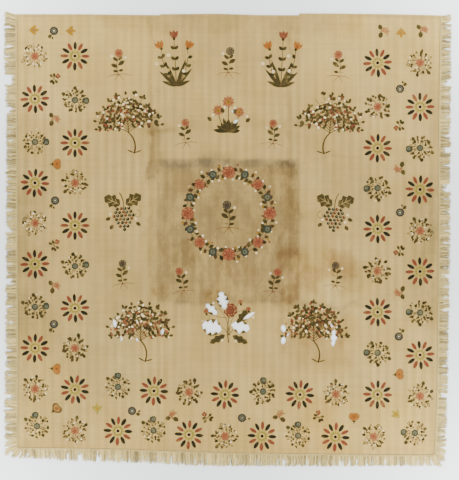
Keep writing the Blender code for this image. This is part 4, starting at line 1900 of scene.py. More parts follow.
def closed_slab(name: str, places: list, triangles: list) -> Mesh:
    """A closed slab from triangles seen from above.

    Args:
        name: The mesh's name.
        places: The upper points, then the lower ones in the same order.
        triangles: The upper side's triangles, anticlockwise.

    Returns:
        A mesh with an upper side, an underside and walls, and no loose points.
    """
    count = len(places) // 2
    edges = Counter()
    for a, b, c in triangles:
        edges.update(((a, b), (b, c), (c, a)))
    faces = [tuple(t) for t in triangles] + [(a + count, c + count, b + count) for a, b, c in triangles]
    faces += [(a, a + count, b + count, b) for a, b in edges if (b, a) not in edges]
    used = sorted({i for face in faces for i in face})
    number = {old: new for new, old in enumerate(used)}
    mesh = bpy.data.meshes.new(name)
    mesh.from_pydata([places[i] for i in used], [], [tuple(number[i] for i in face) for face in faces])
    mesh.shade_smooth()
    mesh.set_sharp_from_angle(angle=math.radians(40.0))
    return mesh


# The print.


@dataclass
class StencilPress:
    """Presses each stencil onto the cloth wherever it is used, one coat of paint at a time."""

    cloth: Piece
    proud: float = 0.00018
    soak: float = 0.00012
    cell: float = 0.009
    clearance: float = 0.05

    def cut(self, stencil: Stencil) -> dict[Dye, Mesh]:
        """Cuts a stencil's overlapping shapes into one flat slab for each paint.

        Args:
            stencil: The stencil.

        Returns:
            For each paint, a slab whose upper side is at +1 and underside at -1.
        """
        points, faces, dyes = [], [], []
        for dye, outline in stencil.shapes:
            outline = self.fine(outline)
            faces.append(list(range(len(points), len(points) + len(outline))))
            points += outline
            dyes.append(dye)
        points += self.inner_points(stencil)
        flat = delaunay_2d_cdt([Vector(p) for p in points], [], faces, 1, 2e-6, True)
        verts, triangles, origins = flat[0], flat[2], flat[5]
        by_dye = defaultdict(list)
        for triangle, origin in zip(triangles, origins):
            if origin and dyes[max(origin)] is not Dye.BARE:
                by_dye[dyes[max(origin)]].append(triangle)
        places = [(v.x, v.y, z) for z in (1.0, -1.0) for v in verts]
        return {dye: closed_slab(dye.value, places, kept) for dye, kept in by_dye.items()}

    def fine(self, outline: Outline) -> Outline:
        """Splits an outline's sides until none is longer than a cell.

        Args:
            outline: The outline.

        Returns:
            The outline with the added points.
        """
        points = []
        for (x, y), (u, v) in zip(outline, outline[1:] + outline[:1]):
            count = max(1, math.ceil(math.hypot(u - x, v - y) / self.cell))
            points += [(x + (u - x) * i / count, y + (v - y) * i / count) for i in range(count)]
        return points

    def inner_points(self, stencil: Stencil) -> Outline:
        """Spreads points a cell apart over each shape that is large enough to need them.

        Args:
            stencil: The stencil.

        Returns:
            The points.
        """
        points = set()
        for dye, outline in stencil.shapes:
            spans = [(min(values), max(values)) for values in zip(*outline)]
            if dye is Dye.BARE or min(high - low for low, high in spans) < 1.6 * self.cell:
                continue
            across, along = (range(math.ceil(a / self.cell), math.floor(b / self.cell) + 1) for a, b in spans)
            points.update((i * self.cell, j * self.cell) for i in across for j in along)
        return sorted(points)

    def tree(self) -> Tree:
        """Writes the Geometry Nodes tree that repeats a slab at each placing, pressed onto the cloth.

        Returns:
            The tree.
        """
        nodes = new_geometry_group(
            "press_stencil", ("Stencil", "Object", None), ("Cloth", "Object", None),
            ("Proud", "Float", self.proud), ("Soak", "Float", self.soak), ("Worn Share", "Float", 0.0),
            ("Seed", "Int", 7), ("Paint", "Material", None),
        )
        given = nodes.given
        copies = self.unworn_copies(nodes)
        x, y, side = nodes.split(nodes.make("GeometryNodeInputPosition"))
        upper = nodes.math("GREATER_THAN", side, 0.0)
        inputs = {0: upper, 2: nodes.times(given["Soak"], -1.0), 3: given["Proud"]}
        rise = nodes.make("ShaderNodeMix", inputs, data_type="FLOAT")
        there = nodes.join(x, y, nodes.math("ADD", self.ground(nodes, x, y), rise))
        pressed = nodes.make("GeometryNodeSetPosition", {"Geometry": copies, "Position": there})
        return nodes.result(nodes.make("GeometryNodeSetMaterial", {0: pressed, "Material": given["Paint"]}))

    def unworn_copies(self, nodes: Nodes) -> Socket:
        """Repeats the slab at each placing, then drops the marks that have flaked away.

        Args:
            nodes: The tree being written.

        Returns:
            The copies, made real.
        """
        given = nodes.given
        turn, size = (
            nodes.make("GeometryNodeInputNamedAttribute", {"Name": label}, data_type="FLOAT")
            for label in ("turn", "size")
        )
        slab = nodes.add("GeometryNodeObjectInfo", {"Object": given["Stencil"]}).outputs["Geometry"]
        inputs = {"Points": given["Geometry"], "Instance": slab, "Rotation": nodes.join(0.0, 0.0, turn),
                  "Scale": nodes.join(size, size, 1.0)}
        copies = nodes.make("GeometryNodeInstanceOnPoints", inputs)
        copies = nodes.make("GeometryNodeRealizeInstances", {0: copies})
        island = nodes.add("GeometryNodeInputMeshIsland").outputs["Island Index"]
        inputs = {"Probability": given["Worn Share"], "ID": island, "Seed": given["Seed"]}
        flaked = nodes.add("FunctionNodeRandomValue", inputs, data_type="BOOLEAN").outputs[3]
        return nodes.make("GeometryNodeDeleteGeometry", {"Geometry": copies, "Selection": flaked})

    def ground(self, nodes: Nodes, x: Socket, y: Socket) -> Socket:
        """Finds the cloth's height at a place, or the nearest cloth's height where there is none.

        Args:
            nodes: The tree being written.
            x: How far right the place is.
            y: How far up the place is.

        Returns:
            The height there.
        """
        cloth = nodes.add("GeometryNodeObjectInfo", {"Object": nodes.given["Cloth"]}).outputs["Geometry"]
        above = nodes.join(x, y, self.clearance)
        down = {"Target Geometry": cloth, "Source Position": above, "Ray Direction": (0.0, 0.0, -1.0),
                "Ray Length": 2.0 * self.clearance}
        ray = nodes.add("GeometryNodeRaycast", down).outputs
        near = nodes.add("GeometryNodeProximity", {0: cloth, "Source Position": above}).outputs
        inputs = {"Switch": ray["Is Hit"], "False": nodes.split(near["Position"])["Z"],
                  "True": nodes.split(ray["Hit Position"])["Z"]}
        return nodes.make("GeometryNodeSwitch", inputs, input_type="FLOAT")

    def placing_points(self, placings: list[Placing]) -> Piece:
        """A mesh of one point for each placing, which carries its turn and size.

        Args:
            placings: A stencil's placings.

        Returns:
            The object that holds the points.
        """
        mesh = bpy.data.meshes.new("placings")
        mesh.from_pydata([(p.x, p.y, 0.0) for p in placings], [], [])
        values = {"turn": [math.radians(p.turn) for p in placings], "size": [p.size for p in placings]}
        for label, numbers in values.items():
            mesh.attributes.new(label, "FLOAT", "POINT").data.foreach_set("value", numbers)
        return add_object("placings", mesh)

    def print_all(self, plan: Plan, materials: dict[Dye, Material]) -> list[Piece]:
        """Prints every stencil.

        Args:
            plan: Each stencil with its placings.
            materials: Each paint's material.

        Returns:
            One object for each paint, all of that coat on the coverlet.
        """
        tree = self.tree()
        coats = defaultdict(bmesh.new)
        for number, (stencil, placings) in enumerate(plan):
            for dye, slab in self.cut(stencil).items():
                cut_out = add_object("cut_out", slab)
                values = {"Stencil": cut_out, "Cloth": self.cloth, "Proud": self.proud, "Soak": self.soak,
                          "Worn Share": WORN_SHARES.get(dye, 0.0), "Seed": number, "Paint": materials[dye]}
                mesh = run_nodes(self.placing_points(placings), tree, values)
                coats[dye].from_mesh(mesh)
                bpy.data.meshes.remove(mesh)
                bpy.data.objects.remove(cut_out, do_unlink=True)
        pieces = []
        for dye, coat in coats.items():
            mesh = to_mesh(coat, f"print_{dye.value}")
            mesh.materials.append(materials[dye])
            add_bake_map(mesh)
            pieces.append(add_object(mesh.name, mesh))
        return pieces


# The share of a paint's separate marks that has flaked away.
WORN_SHARES = {Dye.CREAM: 0.16, Dye.BROWN: 0.08, Dye.OLIVE: 0.06, Dye.PINK: 0.04}


# The fringe.


FRINGE_REACH = {
    Side.LEFT: (
        # (y, short_of_overall)
        (1.13, 0.0), (0.95, 0.001), (0.82, 0.012), (0.48, 0.018),
        (0.0, 0.016), (-0.6, 0.014), (-0.88, 0.006), (-1.05, 0.016),
    ),
    Side.RIGHT: (
        (1.13, 0.002), (0.98, 0.0), (0.6, 0.008), (0.0, 0.01),
        (-0.35, 0.017), (-0.75, 0.023), (-1.08, 0.035),
    ),
    Side.FOOT: (
        # (x, short_of_overall)
        (-1.05, 0.049), (-0.75, 0.034), (-0.33, 0.022), (-0.08, 0.002), (0.5, 0.0), (1.036, 0.004),
    ),
}
WORN_PLACES = {
    # (place along the edge, share of the length that is left)
    Side.LEFT: ((0.8, 0.3), (0.636, 0.45), (0.062, 0.5), (-0.205, 0.4), (-0.79, 0.35)),
    Side.RIGHT: ((0.785, 0.45), (0.455, 0.4), (0.25, 0.4), (-0.19, 0.35), (-0.775, 0.3)),
    Side.FOOT: ((-0.727, 0.35), (-0.645, 0.45), (-0.13, 0.6), (0.57, 0.6)),
}
FRINGE_TONES = {Side.LEFT: 0.49, Side.RIGHT: 0.49, Side.FOOT: 0.6}


@dataclass(frozen=True)
class Clump:
    """A clump of yarns: where it starts and ends, its length's share, its sway and its tips' width."""

    low: float
    high: float
    share: float
    sway: float
    half_tip: float


@dataclass
class YarnLines:
    """A fringe's yarns as lines: their points, the edges between them and each point's shade."""

    lowest: float
    points: list[tuple[float, float, float]] = field(default_factory=list)
    edges: list[tuple[int, int]] = field(default_factory=list)
    shades: list[float] = field(default_factory=list)

    def add(self, places: list[Vector], heights: list[float], shade: float) -> None:
        """Adds one yarn.

        Args:
            places: Its flat points, from the heading to its tip.
            heights: How high it hangs over each.
            shade: Its shade.
        """
        first = len(self.points)
        self.points += [(spot.x, spot.y, max(self.lowest, height)) for spot, height in zip(places, heights)]
        self.edges += [(first + i, first + i + 1) for i in range(len(places) - 1)]
        self.shades += [min(1.0, max(0.0, shade))] * len(places)


@dataclass
class Fringe:
    """A fringe along one edge: a narrow woven heading, and yarns that hang together in clumps."""

    side: Side
    start: float
    end: float
    lie: Lie
    tone: float = 0.52
    seed: int = 1832
    # The heading.
    heading_width: float = 0.008
    heading_lap: float = 0.0035
    heading_pitch: float = 0.006
    heading_wobble: float = 0.0004
    heading_shade: float = 0.42
    # The clumps.
    clump_width: tuple[float, float] = (0.016, 0.029)
    clump_shortfall: float = 0.1
    clump_taper: tuple[float, float] = (0.09, 0.24)
    clump_sway: float = 0.85
    clump_bow: float = 0.0026
    clump_tone: float = 0.1
    least_yarns: int = 5
    worn_reach: float = 0.011
    worn_share: float = 0.65
    # The fanned ends.
    corner_reach: float = 0.07
    corner_lean: float = 38.0
    hem_corner_lean: float = 14.0
    corner_fill: float = 0.9
    corner_yarns: int = 46
    corner_lap: float = 0.004
    corner_lengths: tuple[float, float] = (0.84, 1.04)
    corner_swing: float = 0.003
    corner_height: tuple[float, float] = (1.0, 3.2)
    corner_shade: tuple[float, float] = (0.2, 0.95)
    corner_fall: float = 0.11
    # Each yarn.
    yarn_pitch: float = 0.00165
    yarn_radius: float = 0.00118
    yarn_points: int = 6
    floor_gap: float = 0.0003
    lengths: tuple[float, ...] = (0.99, 1.08, 1.15, 1.22)
    length_spread: tuple[float, float] = (0.96, 1.03)
    worn_spread: tuple[float, float] = (0.5, 1.7)
    past_box: tuple[float, float] = (-0.006, 0.004)
    tip_spread: tuple[float, float] = (1.0, 1.42)
    tip_scatter: float = 0.002
    yarn_bow: float = 0.0012
    group_tone: tuple[float, float] = (-0.42, 0.36)
    yarn_tone: float = 0.12
    # Painted light on the upper yarns and painted shade on the lower ones, for how high each lies.
    upper_tone: float = 0.12
    lower_tone: float = -0.06
    rooted_share: float = 0.4
    # How high the upper and the lower yarns lie, in yarn radii.
    upper_height: tuple[float, float] = (2.6, 3.6)
    lower_height: tuple[float, float] = (1.0, 1.5)
    upper_fall: float = 0.55

    @property
    def name(self) -> str:
        """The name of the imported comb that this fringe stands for."""
        return f"fringe_{self.side.value}"

    def clumps(self) -> list[Clump]:
        """The clumps along the edge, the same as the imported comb's.

        Returns:
            The clumps in order.
        """
        chance = random.Random(f"{self.seed} {self.name}")
        found, here = [], self.start
        while self.end - here > self.clump_width[0]:
            step = chance.uniform(*self.clump_width)
            there = self.end if self.end - here - step < self.clump_width[0] else here + step
            middle = 0.5 * (here + there)
            share = 1.0 - self.clump_shortfall * chance.random() ** 2
            for worn, left in WORN_PLACES[self.side]:
                if abs(middle - worn) < self.worn_reach:
                    share = left
            drawn_in = chance.uniform(*self.clump_taper) * (there - here)
            sway = chance.uniform(-self.clump_sway, self.clump_sway) * drawn_in
            found.append(Clump(here, there, share, sway, 0.5 * (there - here) - drawn_in))
            here = there
        return found

    def edge(self, along: float) -> tuple[Vector, Vector, float]:
        """The edge at a place along it.

        Args:
            along: The place, a Y on the two sides and an X at the foot.

        Returns:
            The point on the cloth's edge, the way out, and the fringe's full length there.
        """
        short = read_table(FRINGE_REACH[self.side], along, 1)
        if self.side is Side.FOOT:
            root = foot_edge(along)
            return Vector((along, root)), Vector((0.0, -1.0)), root + 0.5 * OVERALL_LENGTH - short
        root, way = (left_edge(along), -1.0) if self.side is Side.LEFT else (right_edge(along), 1.0)
        return Vector((root, along)), Vector((way, 0.0)), 0.5 * OVERALL_WIDTH - short - abs(root)

    def longest(self, root: Vector) -> float:
        """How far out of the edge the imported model's box reaches from a point on it.

        Args:
            root: The point on the cloth's edge.

        Returns:
            The reach.
        """
        if self.side is Side.FOOT:
            return 0.5 * OVERALL_LENGTH - abs(root.y)
        return 0.5 * OVERALL_WIDTH - abs(root.x)

    def lean(self, middle: float) -> float:
        """The sideways push of the tips, fanned out near the ends of the edge.

        Args:
            middle: The place along the edge.

        Returns:
            The push as a tangent.
        """
        high = self.corner_lean if self.side is Side.FOOT else self.hem_corner_lean
        near_start = smooth(1.0 - (middle - self.start) / self.corner_reach)
        near_end = smooth(1.0 - (self.end - middle) / self.corner_reach)
        return math.tan(math.radians(high)) * near_end - math.tan(math.radians(self.corner_lean)) * near_start

    def yarn_lines(self) -> YarnLines:
        """Lays out every yarn of the fringe.

        Returns:
            The yarns.
        """
        chance = random.Random(f"{self.seed} yarns {self.side.value}")
        lines = YarnLines(self.yarn_radius + self.floor_gap)
        for clump in self.clumps():
            self.add_clump(lines, clump, chance)
        if self.side is Side.FOOT:
            self.add_corner(lines, self.start, -1.0, chance)
            self.add_corner(lines, self.end, 1.0, chance)
        return lines

    def add_clump(self, lines: YarnLines, clump: Clump, chance: random.Random) -> None:
        """Adds one clump's yarns.

        Args:
            lines: The yarns, added to.
            clump: The clump.
            chance: The source of unevenness.
        """
        middle = 0.5 * (clump.low + clump.high)
        centre, out, reach = self.edge(middle)
        along_axis = Vector((abs(out.y), abs(out.x)))
        lean = self.lean(middle)
        fill = 1.0 + self.corner_fill * abs(lean)
        shift = clump.sway + lean * reach * clump.share
        count = max(self.least_yarns, round(fill * (clump.high - clump.low) / self.yarn_pitch))
        tone, bow_out = chance.uniform(-self.clump_tone, self.clump_tone), chance.gauss(0.0, self.clump_bow)
        group_tone = 0.0
        for k in range(count):
            if k % 3 == 0:
                group_tone = chance.uniform(*self.group_tone)
            share = (k + 0.5) / count
            root = self.edge(clump.low + (clump.high - clump.low) * share)[0]
            length = reach * clump.share * chance.choice(self.lengths) * chance.uniform(*self.length_spread)
            if clump.share < self.worn_share:
                length *= chance.uniform(*self.worn_spread)
            length = min(length, self.longest(root) + chance.uniform(*self.past_box))
            spread = (2.0 * share - 1.0) * clump.half_tip * chance.uniform(*self.tip_spread) * fill
            tip = centre + out * length + along_axis * (shift + spread + chance.gauss(0.0, self.tip_scatter))
            start = root + out * (self.rooted_share * self.heading_width)
            bend = bow_out + chance.gauss(0.0, self.yarn_bow)
            upper = (k * 5) % 3 == 0
            height = self.yarn_radius * chance.uniform(*(self.upper_height if upper else self.lower_height))
            shade = self.tone + tone + group_tone + chance.gauss(0.0, self.yarn_tone)
            # Painted light on an upper yarn, painted shade on a lower one.
            shade += self.upper_tone if upper else self.lower_tone
            places, heights = [], []
            for i in range(self.yarn_points):
                s = i / (self.yarn_points - 1)
                # A yarn keeps straight out of the heading and swings over further along.
                across = (tip - start).dot(along_axis) * s * s * (1.6 - 0.6 * s)
                wave = bend * math.sin(math.pi * s) - 0.6 * bend * math.sin(TAU * s)
                places.append(start + out * ((tip - start).dot(out) * s) + along_axis * (across + wave))
                heights.append(height * (1.0 - self.upper_fall * s if upper else 1.0))
            lines.add(places, heights, shade)

    def add_corner(self, lines: YarnLines, along: float, way: float, chance: random.Random) -> None:
        """Adds the yarns that fan round a corner of the foot.

        Args:
            lines: The yarns, added to.
            along: Where the corner is along the foot.
            way: Which way is out along X, -1 or 1.
            chance: The source of unevenness.
        """
        root, _, reach = self.edge(along)
        last = self.yarn_points - 1
        for k in range(self.corner_yarns):
            turn = math.radians(90.0 * (k + chance.random()) / self.corner_yarns)
            out = Vector((way * math.sin(turn), -math.cos(turn)))
            length = reach * chance.uniform(*self.corner_lengths)
            swing = Vector((-out.y, out.x)) * chance.gauss(0.0, self.corner_swing)
            start = root + Vector((-way * self.corner_lap * math.cos(turn), self.corner_lap * math.sin(turn)))
            height = self.yarn_radius * chance.uniform(*self.corner_height)
            shade = chance.uniform(*self.corner_shade)
            steady = [start + out * (length * i / last) for i in range(last + 1)]
            places = [spot + swing * math.sin(math.pi * i / last) for i, spot in enumerate(steady)]
            lines.add(places, [height * (1.0 - self.corner_fall * i) for i in range(last + 1)], shade)

    def yarn_tree(self) -> Tree:
        """Writes the Geometry Nodes tree that turns lines into wavy, tapering yarns.

        Returns:
            The tree.
        """
        nodes = new_geometry_group(
            "hang_yarns", ("Yarn Radius", "Float", self.yarn_radius), ("Points", "Int", 8),
            ("Sides", "Int", 4), ("Wave Height", "Float", 0.0034), ("Wave Scale", "Float", 70.0),
            ("Seed", "Float", 0.0), ("Yarn", "Material", None),
        )
        given = nodes.given
        line = nodes.make("GeometryNodeMeshToCurve", {"Mesh": given["Geometry"]})
        line = nodes.make("GeometryNodeResampleCurve", {"Curve": line, "Count": given["Points"]})
        factor = nodes.add("GeometryNodeSplineParameter").outputs["Factor"]
        inputs = {"Vector": nodes.make("GeometryNodeInputPosition"), "W": given["Seed"],
                  "Scale": given["Wave Scale"], "Detail": 1.0}
        wave = nodes.add("ShaderNodeTexNoise", inputs, noise_dimensions="4D").outputs["Color"]
        wave = nodes.vector("SUBTRACT", wave, (0.5, 0.5, 0.5))
        wave = nodes.vector("MULTIPLY", wave, (1.0, 1.0, 0.15))
        wave = nodes.vector("SCALE", wave, nodes.times(nodes.times(factor, 2.0), given["Wave Height"]))
        line = nodes.make("GeometryNodeSetPosition", {"Geometry": line, "Offset": wave})
        circle = nodes.make("GeometryNodeCurvePrimitiveCircle", {"Resolution": given["Sides"], "Radius": 1.0})
        taper = nodes.times(given["Yarn Radius"], nodes.ease(factor, 0.7, 1.0, (1.0, 0.6)))
        inputs = {"Curve": line, "Profile Curve": circle, "Fill Caps": True, "Scale": taper}
        yarns = nodes.make("GeometryNodeCurveToMesh", inputs)
        smoothed = nodes.make("GeometryNodeSetShadeSmooth", {"Geometry": yarns})
        return nodes.realized(smoothed, given["Yarn"])

    def build_yarns(self, tree: Tree, material: Material) -> Piece:
        """Makes the hanging yarns.

        Args:
            tree: The tree from yarn_tree.
            material: The yarn's material.

        Returns:
            The finished object.
        """
        lines = self.yarn_lines()
        mesh = bpy.data.meshes.new("lines")
        mesh.from_pydata(lines.points, lines.edges, [])
        mesh.attributes.new("shade", "FLOAT", "POINT").data.foreach_set("value", lines.shades)
        values = {"Yarn Radius": self.yarn_radius, "Seed": float(len(lines.points)), "Yarn": material}
        mesh = run_nodes(add_object("lines", mesh), tree, values)
        add_bake_map(mesh)
        return add_object(f"yarns_{self.side.value}", mesh)

    def heading_profile(self) -> tuple[tuple[float, float, float], ...]:
        """The heading's section: (how far out, underside, upper side) over the cloth's underside.

        Returns:
            The points, from the lap outwards.
        """
        middle, end = 0.5 * self.heading_width, self.heading_width
        lap = -self.heading_lap
        return (lap, 0.0018, 0.0026), (0.0, 0.0008, 0.003), (middle, 0.0002, 0.0026), (end, 0.0002, 0.002)

    def build_heading(self, material: Material) -> Piece:
        """Makes the woven heading, a narrow closed strip that laps the cloth's edge.

        Args:
            material: The heading's material.

        Returns:
            The finished object.
        """
        chance = random.Random(f"{self.seed} heading {self.side.value}")
        shape = bmesh.new()
        rings = []
        for along in steps(self.start, self.end, self.heading_pitch):
            root, out, _ = self.edge(along)
            wobble = chance.uniform(-self.heading_wobble, self.heading_wobble)
            pairs = []
            for off, low, high in self.heading_profile():
                spot = root + out * (off + wobble)
                floor = self.lie.under(spot.x, spot.y)
                pairs.append([shape.verts.new((spot.x, spot.y, floor + height)) for height in (low, high)])
            rings.append([upper for _, upper in pairs] + [lower for lower, _ in reversed(pairs)])
        close_rings(shape, rings)
        mesh = to_mesh(shape, f"heading_{self.side.value}")
        shades = [self.heading_shade] * len(mesh.vertices)
        mesh.attributes.new("shade", "FLOAT", "POINT").data.foreach_set("value", shades)
        mesh.materials.append(material)
        mesh.shade_smooth()
        add_bake_map(mesh)
        return add_object(mesh.name, mesh)


# Stitches.


@dataclass(frozen=True)
class Sewing:
    """A kind of hand sewing: its name, its height over the cloth's underside, and its stitches."""

    name: str
    lift: float
    pitch: float
    length: float
    slant: float


SEAM_SEWING = Sewing("seam_stitches", 0.00125, 0.0055, 0.0048, 62.0)
HEM_SEWING = Sewing("hem_stitches", 0.00242, 0.0065, 0.0034, 0.0)
FRINGE_SEWING = Sewing("fringe_stitches", 0.0031, 0.007, 0.0042, 70.0)


@dataclass
class StitchLine:
    """A row of hand stitches along a line on the cloth."""

    sewing: Sewing
    label: str
    line: Outline
    lie: Lie
    radius: float = 0.00036
    sides: int = 5
    shares: tuple[float, ...] = (0.0, 0.2, 0.5, 0.8, 1.0)

    @property
    def name(self) -> str:
        """The row's name."""
        return f"{self.sewing.name}_{self.label}"

    def stitch(self) -> Mesh:
        """Makes one stitch along X: a short thread that dips into the cloth at both ends.

        Returns:
            The stitch's mesh.
        """
        shape = bmesh.new()
        rings = []
        angles = [TAU * side / self.sides for side in range(self.sides)]
        for share in self.shares:
            swell = math.sin(math.pi * share)
            rise = 0.9 * self.radius * swell - 0.4 * self.radius
            width = self.radius * (0.45 + 0.55 * swell)
            x = (share - 0.5) * self.sewing.length
            ring = [(x, width * math.cos(angle), rise + width * math.sin(angle)) for angle in angles]
            rings.append([shape.verts.new(spot) for spot in ring])
        close_rings(shape, rings)
        mesh = to_mesh(shape, "stitch")
        mesh.shade_smooth()
        return mesh

    def build(self, tree: Tree, material: Material) -> Piece:
        """Sews the row.

        Args:
            tree: The tree from stitch_tree.
            material: The thread's material.

        Returns:
            The finished object.
        """
        path = [(x, y, self.lie.under(x, y) + self.sewing.lift) for x, y in self.line]
        line = bpy.data.meshes.new("line")
        line.from_pydata(path, [(i, i + 1) for i in range(len(path) - 1)], [])
        stitch = add_object("stitch", self.stitch())
        values = {"Stitch": stitch, "Pitch": self.sewing.pitch, "Slant": math.radians(self.sewing.slant),
                  "Thread": material}
        mesh = run_nodes(add_object("line", line), tree, values)
        bpy.data.objects.remove(stitch, do_unlink=True)
        return add_object(self.name, mesh)


def stitch_tree() -> Tree:
    """Writes the Geometry Nodes tree that repeats a stitch along a line.

    Returns:
        The tree.
    """
    nodes = new_geometry_group(
        "sew_row", ("Stitch", "Object", None), ("Pitch", "Float", 0.006), ("Slant", "Float", 0.0),
        ("Unevenness", "Float", 0.16), ("Seed", "Int", 5), ("Thread", "Material", None),
    )
    given = nodes.given
    line = nodes.make("GeometryNodeMeshToCurve", {"Mesh": given["Geometry"]})
    line = nodes.make("GeometryNodeResampleCurve", {"Curve": line, "Length": given["Pitch"]}, mode="LENGTH")
    points = nodes.add("GeometryNodeCurveToPoints", {"Curve": line}, mode="EVALUATED").outputs
    stitch = nodes.add("GeometryNodeObjectInfo", {"Object": given["Stitch"]}).outputs["Geometry"]
    inputs = {2: nodes.times(given["Unevenness"], -1.0), 3: given["Unevenness"], "Seed": given["Seed"]}
    turn = nodes.add("FunctionNodeRandomValue", inputs, data_type="FLOAT").outputs[1]
    inputs = {"Vector": points["Tangent"]}
    facing = nodes.make("FunctionNodeAlignRotationToVector", inputs, axis="X", pivot_axis="Z")
    slant = nodes.join(0.0, 0.0, nodes.math("ADD", turn, given["Slant"]))
    twist = nodes.make("FunctionNodeRotateRotation", {0: facing, 1: slant}, rotation_space="LOCAL")
    inputs = {"Points": points["Points"], "Instance": stitch, "Rotation": twist}
    return nodes.realized(nodes.make("GeometryNodeInstanceOnPoints", inputs), given["Thread"])


# The coverlet.


@dataclass
class Coverlet:
    """The whole coverlet: its loom widths, print, fringes and stitches."""

    lie: Lie = field(default_factory=Lie)
    weave: Weave = field(default_factory=Weave)
    weathering: Weathering = field(default_factory=Weathering)
    thread_colour: Colour = (0.52, 0.4, 0.17)
    line_step: float = 0.012
    hem_margin: float = 0.008
    hem_depth: float = 0.0095
    fringe_inset: float = 0.0016
    # Where each row of stitches starts and ends.
    seams_sewn: tuple[float, float] = (-1.055, 1.112)
    left_sewn: tuple[float, float] = (-1.035, 1.11)
    right_sewn: tuple[float, float] = (-1.072, 1.11)
    foot_sewn: tuple[float, float] = (-1.045, 1.031)

    def build(self) -> None:
        cloth_colour_and_shade = self.weathering.group()
        panels = self.build_panels(cloth_colour_and_shade)
        coats = self.build_print(panels, cloth_colour_and_shade)
        fringes = self.build_fringes()
        rows = self.build_stitches()
        self.declare(panels, coats, fringes, rows)

    def build_panels(self, cloth_colour_and_shade: Tree) -> dict[Side, Piece]:
        """Weaves, hems and lays the three loom widths.

        Args:
            cloth_colour_and_shade: The group that gives the cloth's colour.

        Returns:
            The loom widths.
        """
        half_gap = 0.5 * PIECE_GAP
        spans = {
            Side.LEFT: (SIDE_EDGES[0][1], SEAM_LEFT_X - half_gap),
            Side.CENTRE: (SEAM_LEFT_X + half_gap, SEAM_RIGHT_X - half_gap),
            Side.RIGHT: (SEAM_RIGHT_X + half_gap, SIDE_EDGES[0][2]),
        }
        panels = {}
        for side, (left_x, right_x) in spans.items():
            slot = f"cotton_{side.value}"
            material = ClothFinish(slot).material(cloth_colour_and_shade, self.weave)
            panels[side] = LoomWidth(side, left_x, right_x, self.lie).build(material)
            finish_piece(panels[side], f"panel_{side.value}")
        return panels

    def build_print(self, panels: dict[Side, Piece], cloth_colour_and_shade: Tree) -> list[Piece]:
        """Prints the coverlet, pressing each coat onto the three widths together.

        Args:
            panels: The loom widths.
            cloth_colour_and_shade: The group that gives the cloth's colour.

        Returns:
            The coats of paint.
        """
        joined = bmesh.new()
        for panel in panels.values():
            joined.from_mesh(panel.data)
        cloth = add_object("pressed_cloth", to_mesh(joined, "pressed_cloth"))
        materials = {paint.dye: paint.material(cloth_colour_and_shade, self.weave) for paint in PAINTS}
        coats = StencilPress(cloth).print_all(plan_print(), materials)
        bpy.data.objects.remove(cloth, do_unlink=True)
        for coat in coats:
            finish_piece(coat)
        return coats

    def build_fringes(self) -> dict[Side, list[Piece]]:
        """Makes each fringe's yarns and heading.

        Returns:
            Each fringe's pieces.
        """
        spans = {
            Side.LEFT: (END_EDGES[Side.LEFT][0][2], END_EDGES[Side.LEFT][0][1]),
            Side.RIGHT: (END_EDGES[Side.RIGHT][-1][2], END_EDGES[Side.RIGHT][-1][1]),
            Side.FOOT: (SIDE_EDGES[-1][1] + PIECE_GAP, SIDE_EDGES[-1][2] - PIECE_GAP),
        }
        pieces, tree = {}, None
        for side, (start, end) in spans.items():
            fringe = Fringe(side, start, end, self.lie, FRINGE_TONES[side])
            tree = tree or fringe.yarn_tree()
            material = YarnFinish(f"yarn_{side.value}").material()
            yarns, heading = fringe.build_yarns(tree, material), fringe.build_heading(material)
            finish_piece(yarns, fringe.name)
            finish_piece(heading)
            pieces[side] = [yarns, heading]
        return pieces

    def build_stitches(self) -> dict[str, Piece]:
        """Sews the seams, the hems and the fringe headings.

        Returns:
            The rows by name.
        """
        tree = stitch_tree()
        thread = ThreadFinish("linen_thread", self.thread_colour).material()
        rows = {}
        for row in self.stitch_rows():
            rows[row.name] = row.build(tree, thread)
            finish_piece(rows[row.name])
        return rows

    def stitch_rows(self) -> list[StitchLine]:
        """Lays out every row of stitches on the coverlet.

        Returns:
            The rows.
        """
        rows = []
        for label, x in (("left", SEAM_LEFT_X), ("right", SEAM_RIGHT_X)):
            line = [(x, y) for y in steps(*self.seams_sewn, self.line_step)]
            rows.append(StitchLine(SEAM_SEWING, label, line, self.lie))
        for side in (Side.LEFT, Side.CENTRE, Side.RIGHT):
            edges = END_EDGES[side]
            places = steps(edges[0][0] + self.hem_margin, edges[-1][0] - self.hem_margin, self.line_step)
            line = [(x, read_table(edges, x, 1) - self.hem_depth) for x in places]
            rows.append(StitchLine(HEM_SEWING, side.value, line, self.lie))
        inset = self.fringe_inset
        line = [(left_edge(y) + inset, y) for y in steps(*self.left_sewn, self.line_step)]
        rows.append(StitchLine(FRINGE_SEWING, "left", line, self.lie))
        line = [(right_edge(y) - inset, y) for y in steps(*self.right_sewn, self.line_step)]
        rows.append(StitchLine(FRINGE_SEWING, "right", line, self.lie))
        line = [(x, foot_edge(x) + inset) for x in steps(*self.foot_sewn, self.line_step)]
        return [*rows, StitchLine(FRINGE_SEWING, "foot", line, self.lie)]

    def declare(self, panels: dict, coats: list, fringes: dict, rows: dict) -> None:
        """Gathers, for each loom width, what is printed on it or sewn to it. The lists are not used further.

        Args:
            panels: The loom widths.
            coats: The coats of paint.
            fringes: Each fringe's pieces.
            rows: The rows of stitches, by name.
        """
        with_left = [*fringes[Side.LEFT], rows["hem_stitches_left"], rows["fringe_stitches_left"]]
        with_centre = [*coats, *fringes[Side.FOOT], rows["hem_stitches_centre"], rows["seam_stitches_left"],
                       rows["seam_stitches_right"], rows["fringe_stitches_foot"]]
        with_right = [*fringes[Side.RIGHT], rows["hem_stitches_right"], rows["fringe_stitches_right"]]
        panels[Side.LEFT]
        panels[Side.CENTRE]
        panels[Side.RIGHT]


# The studio.


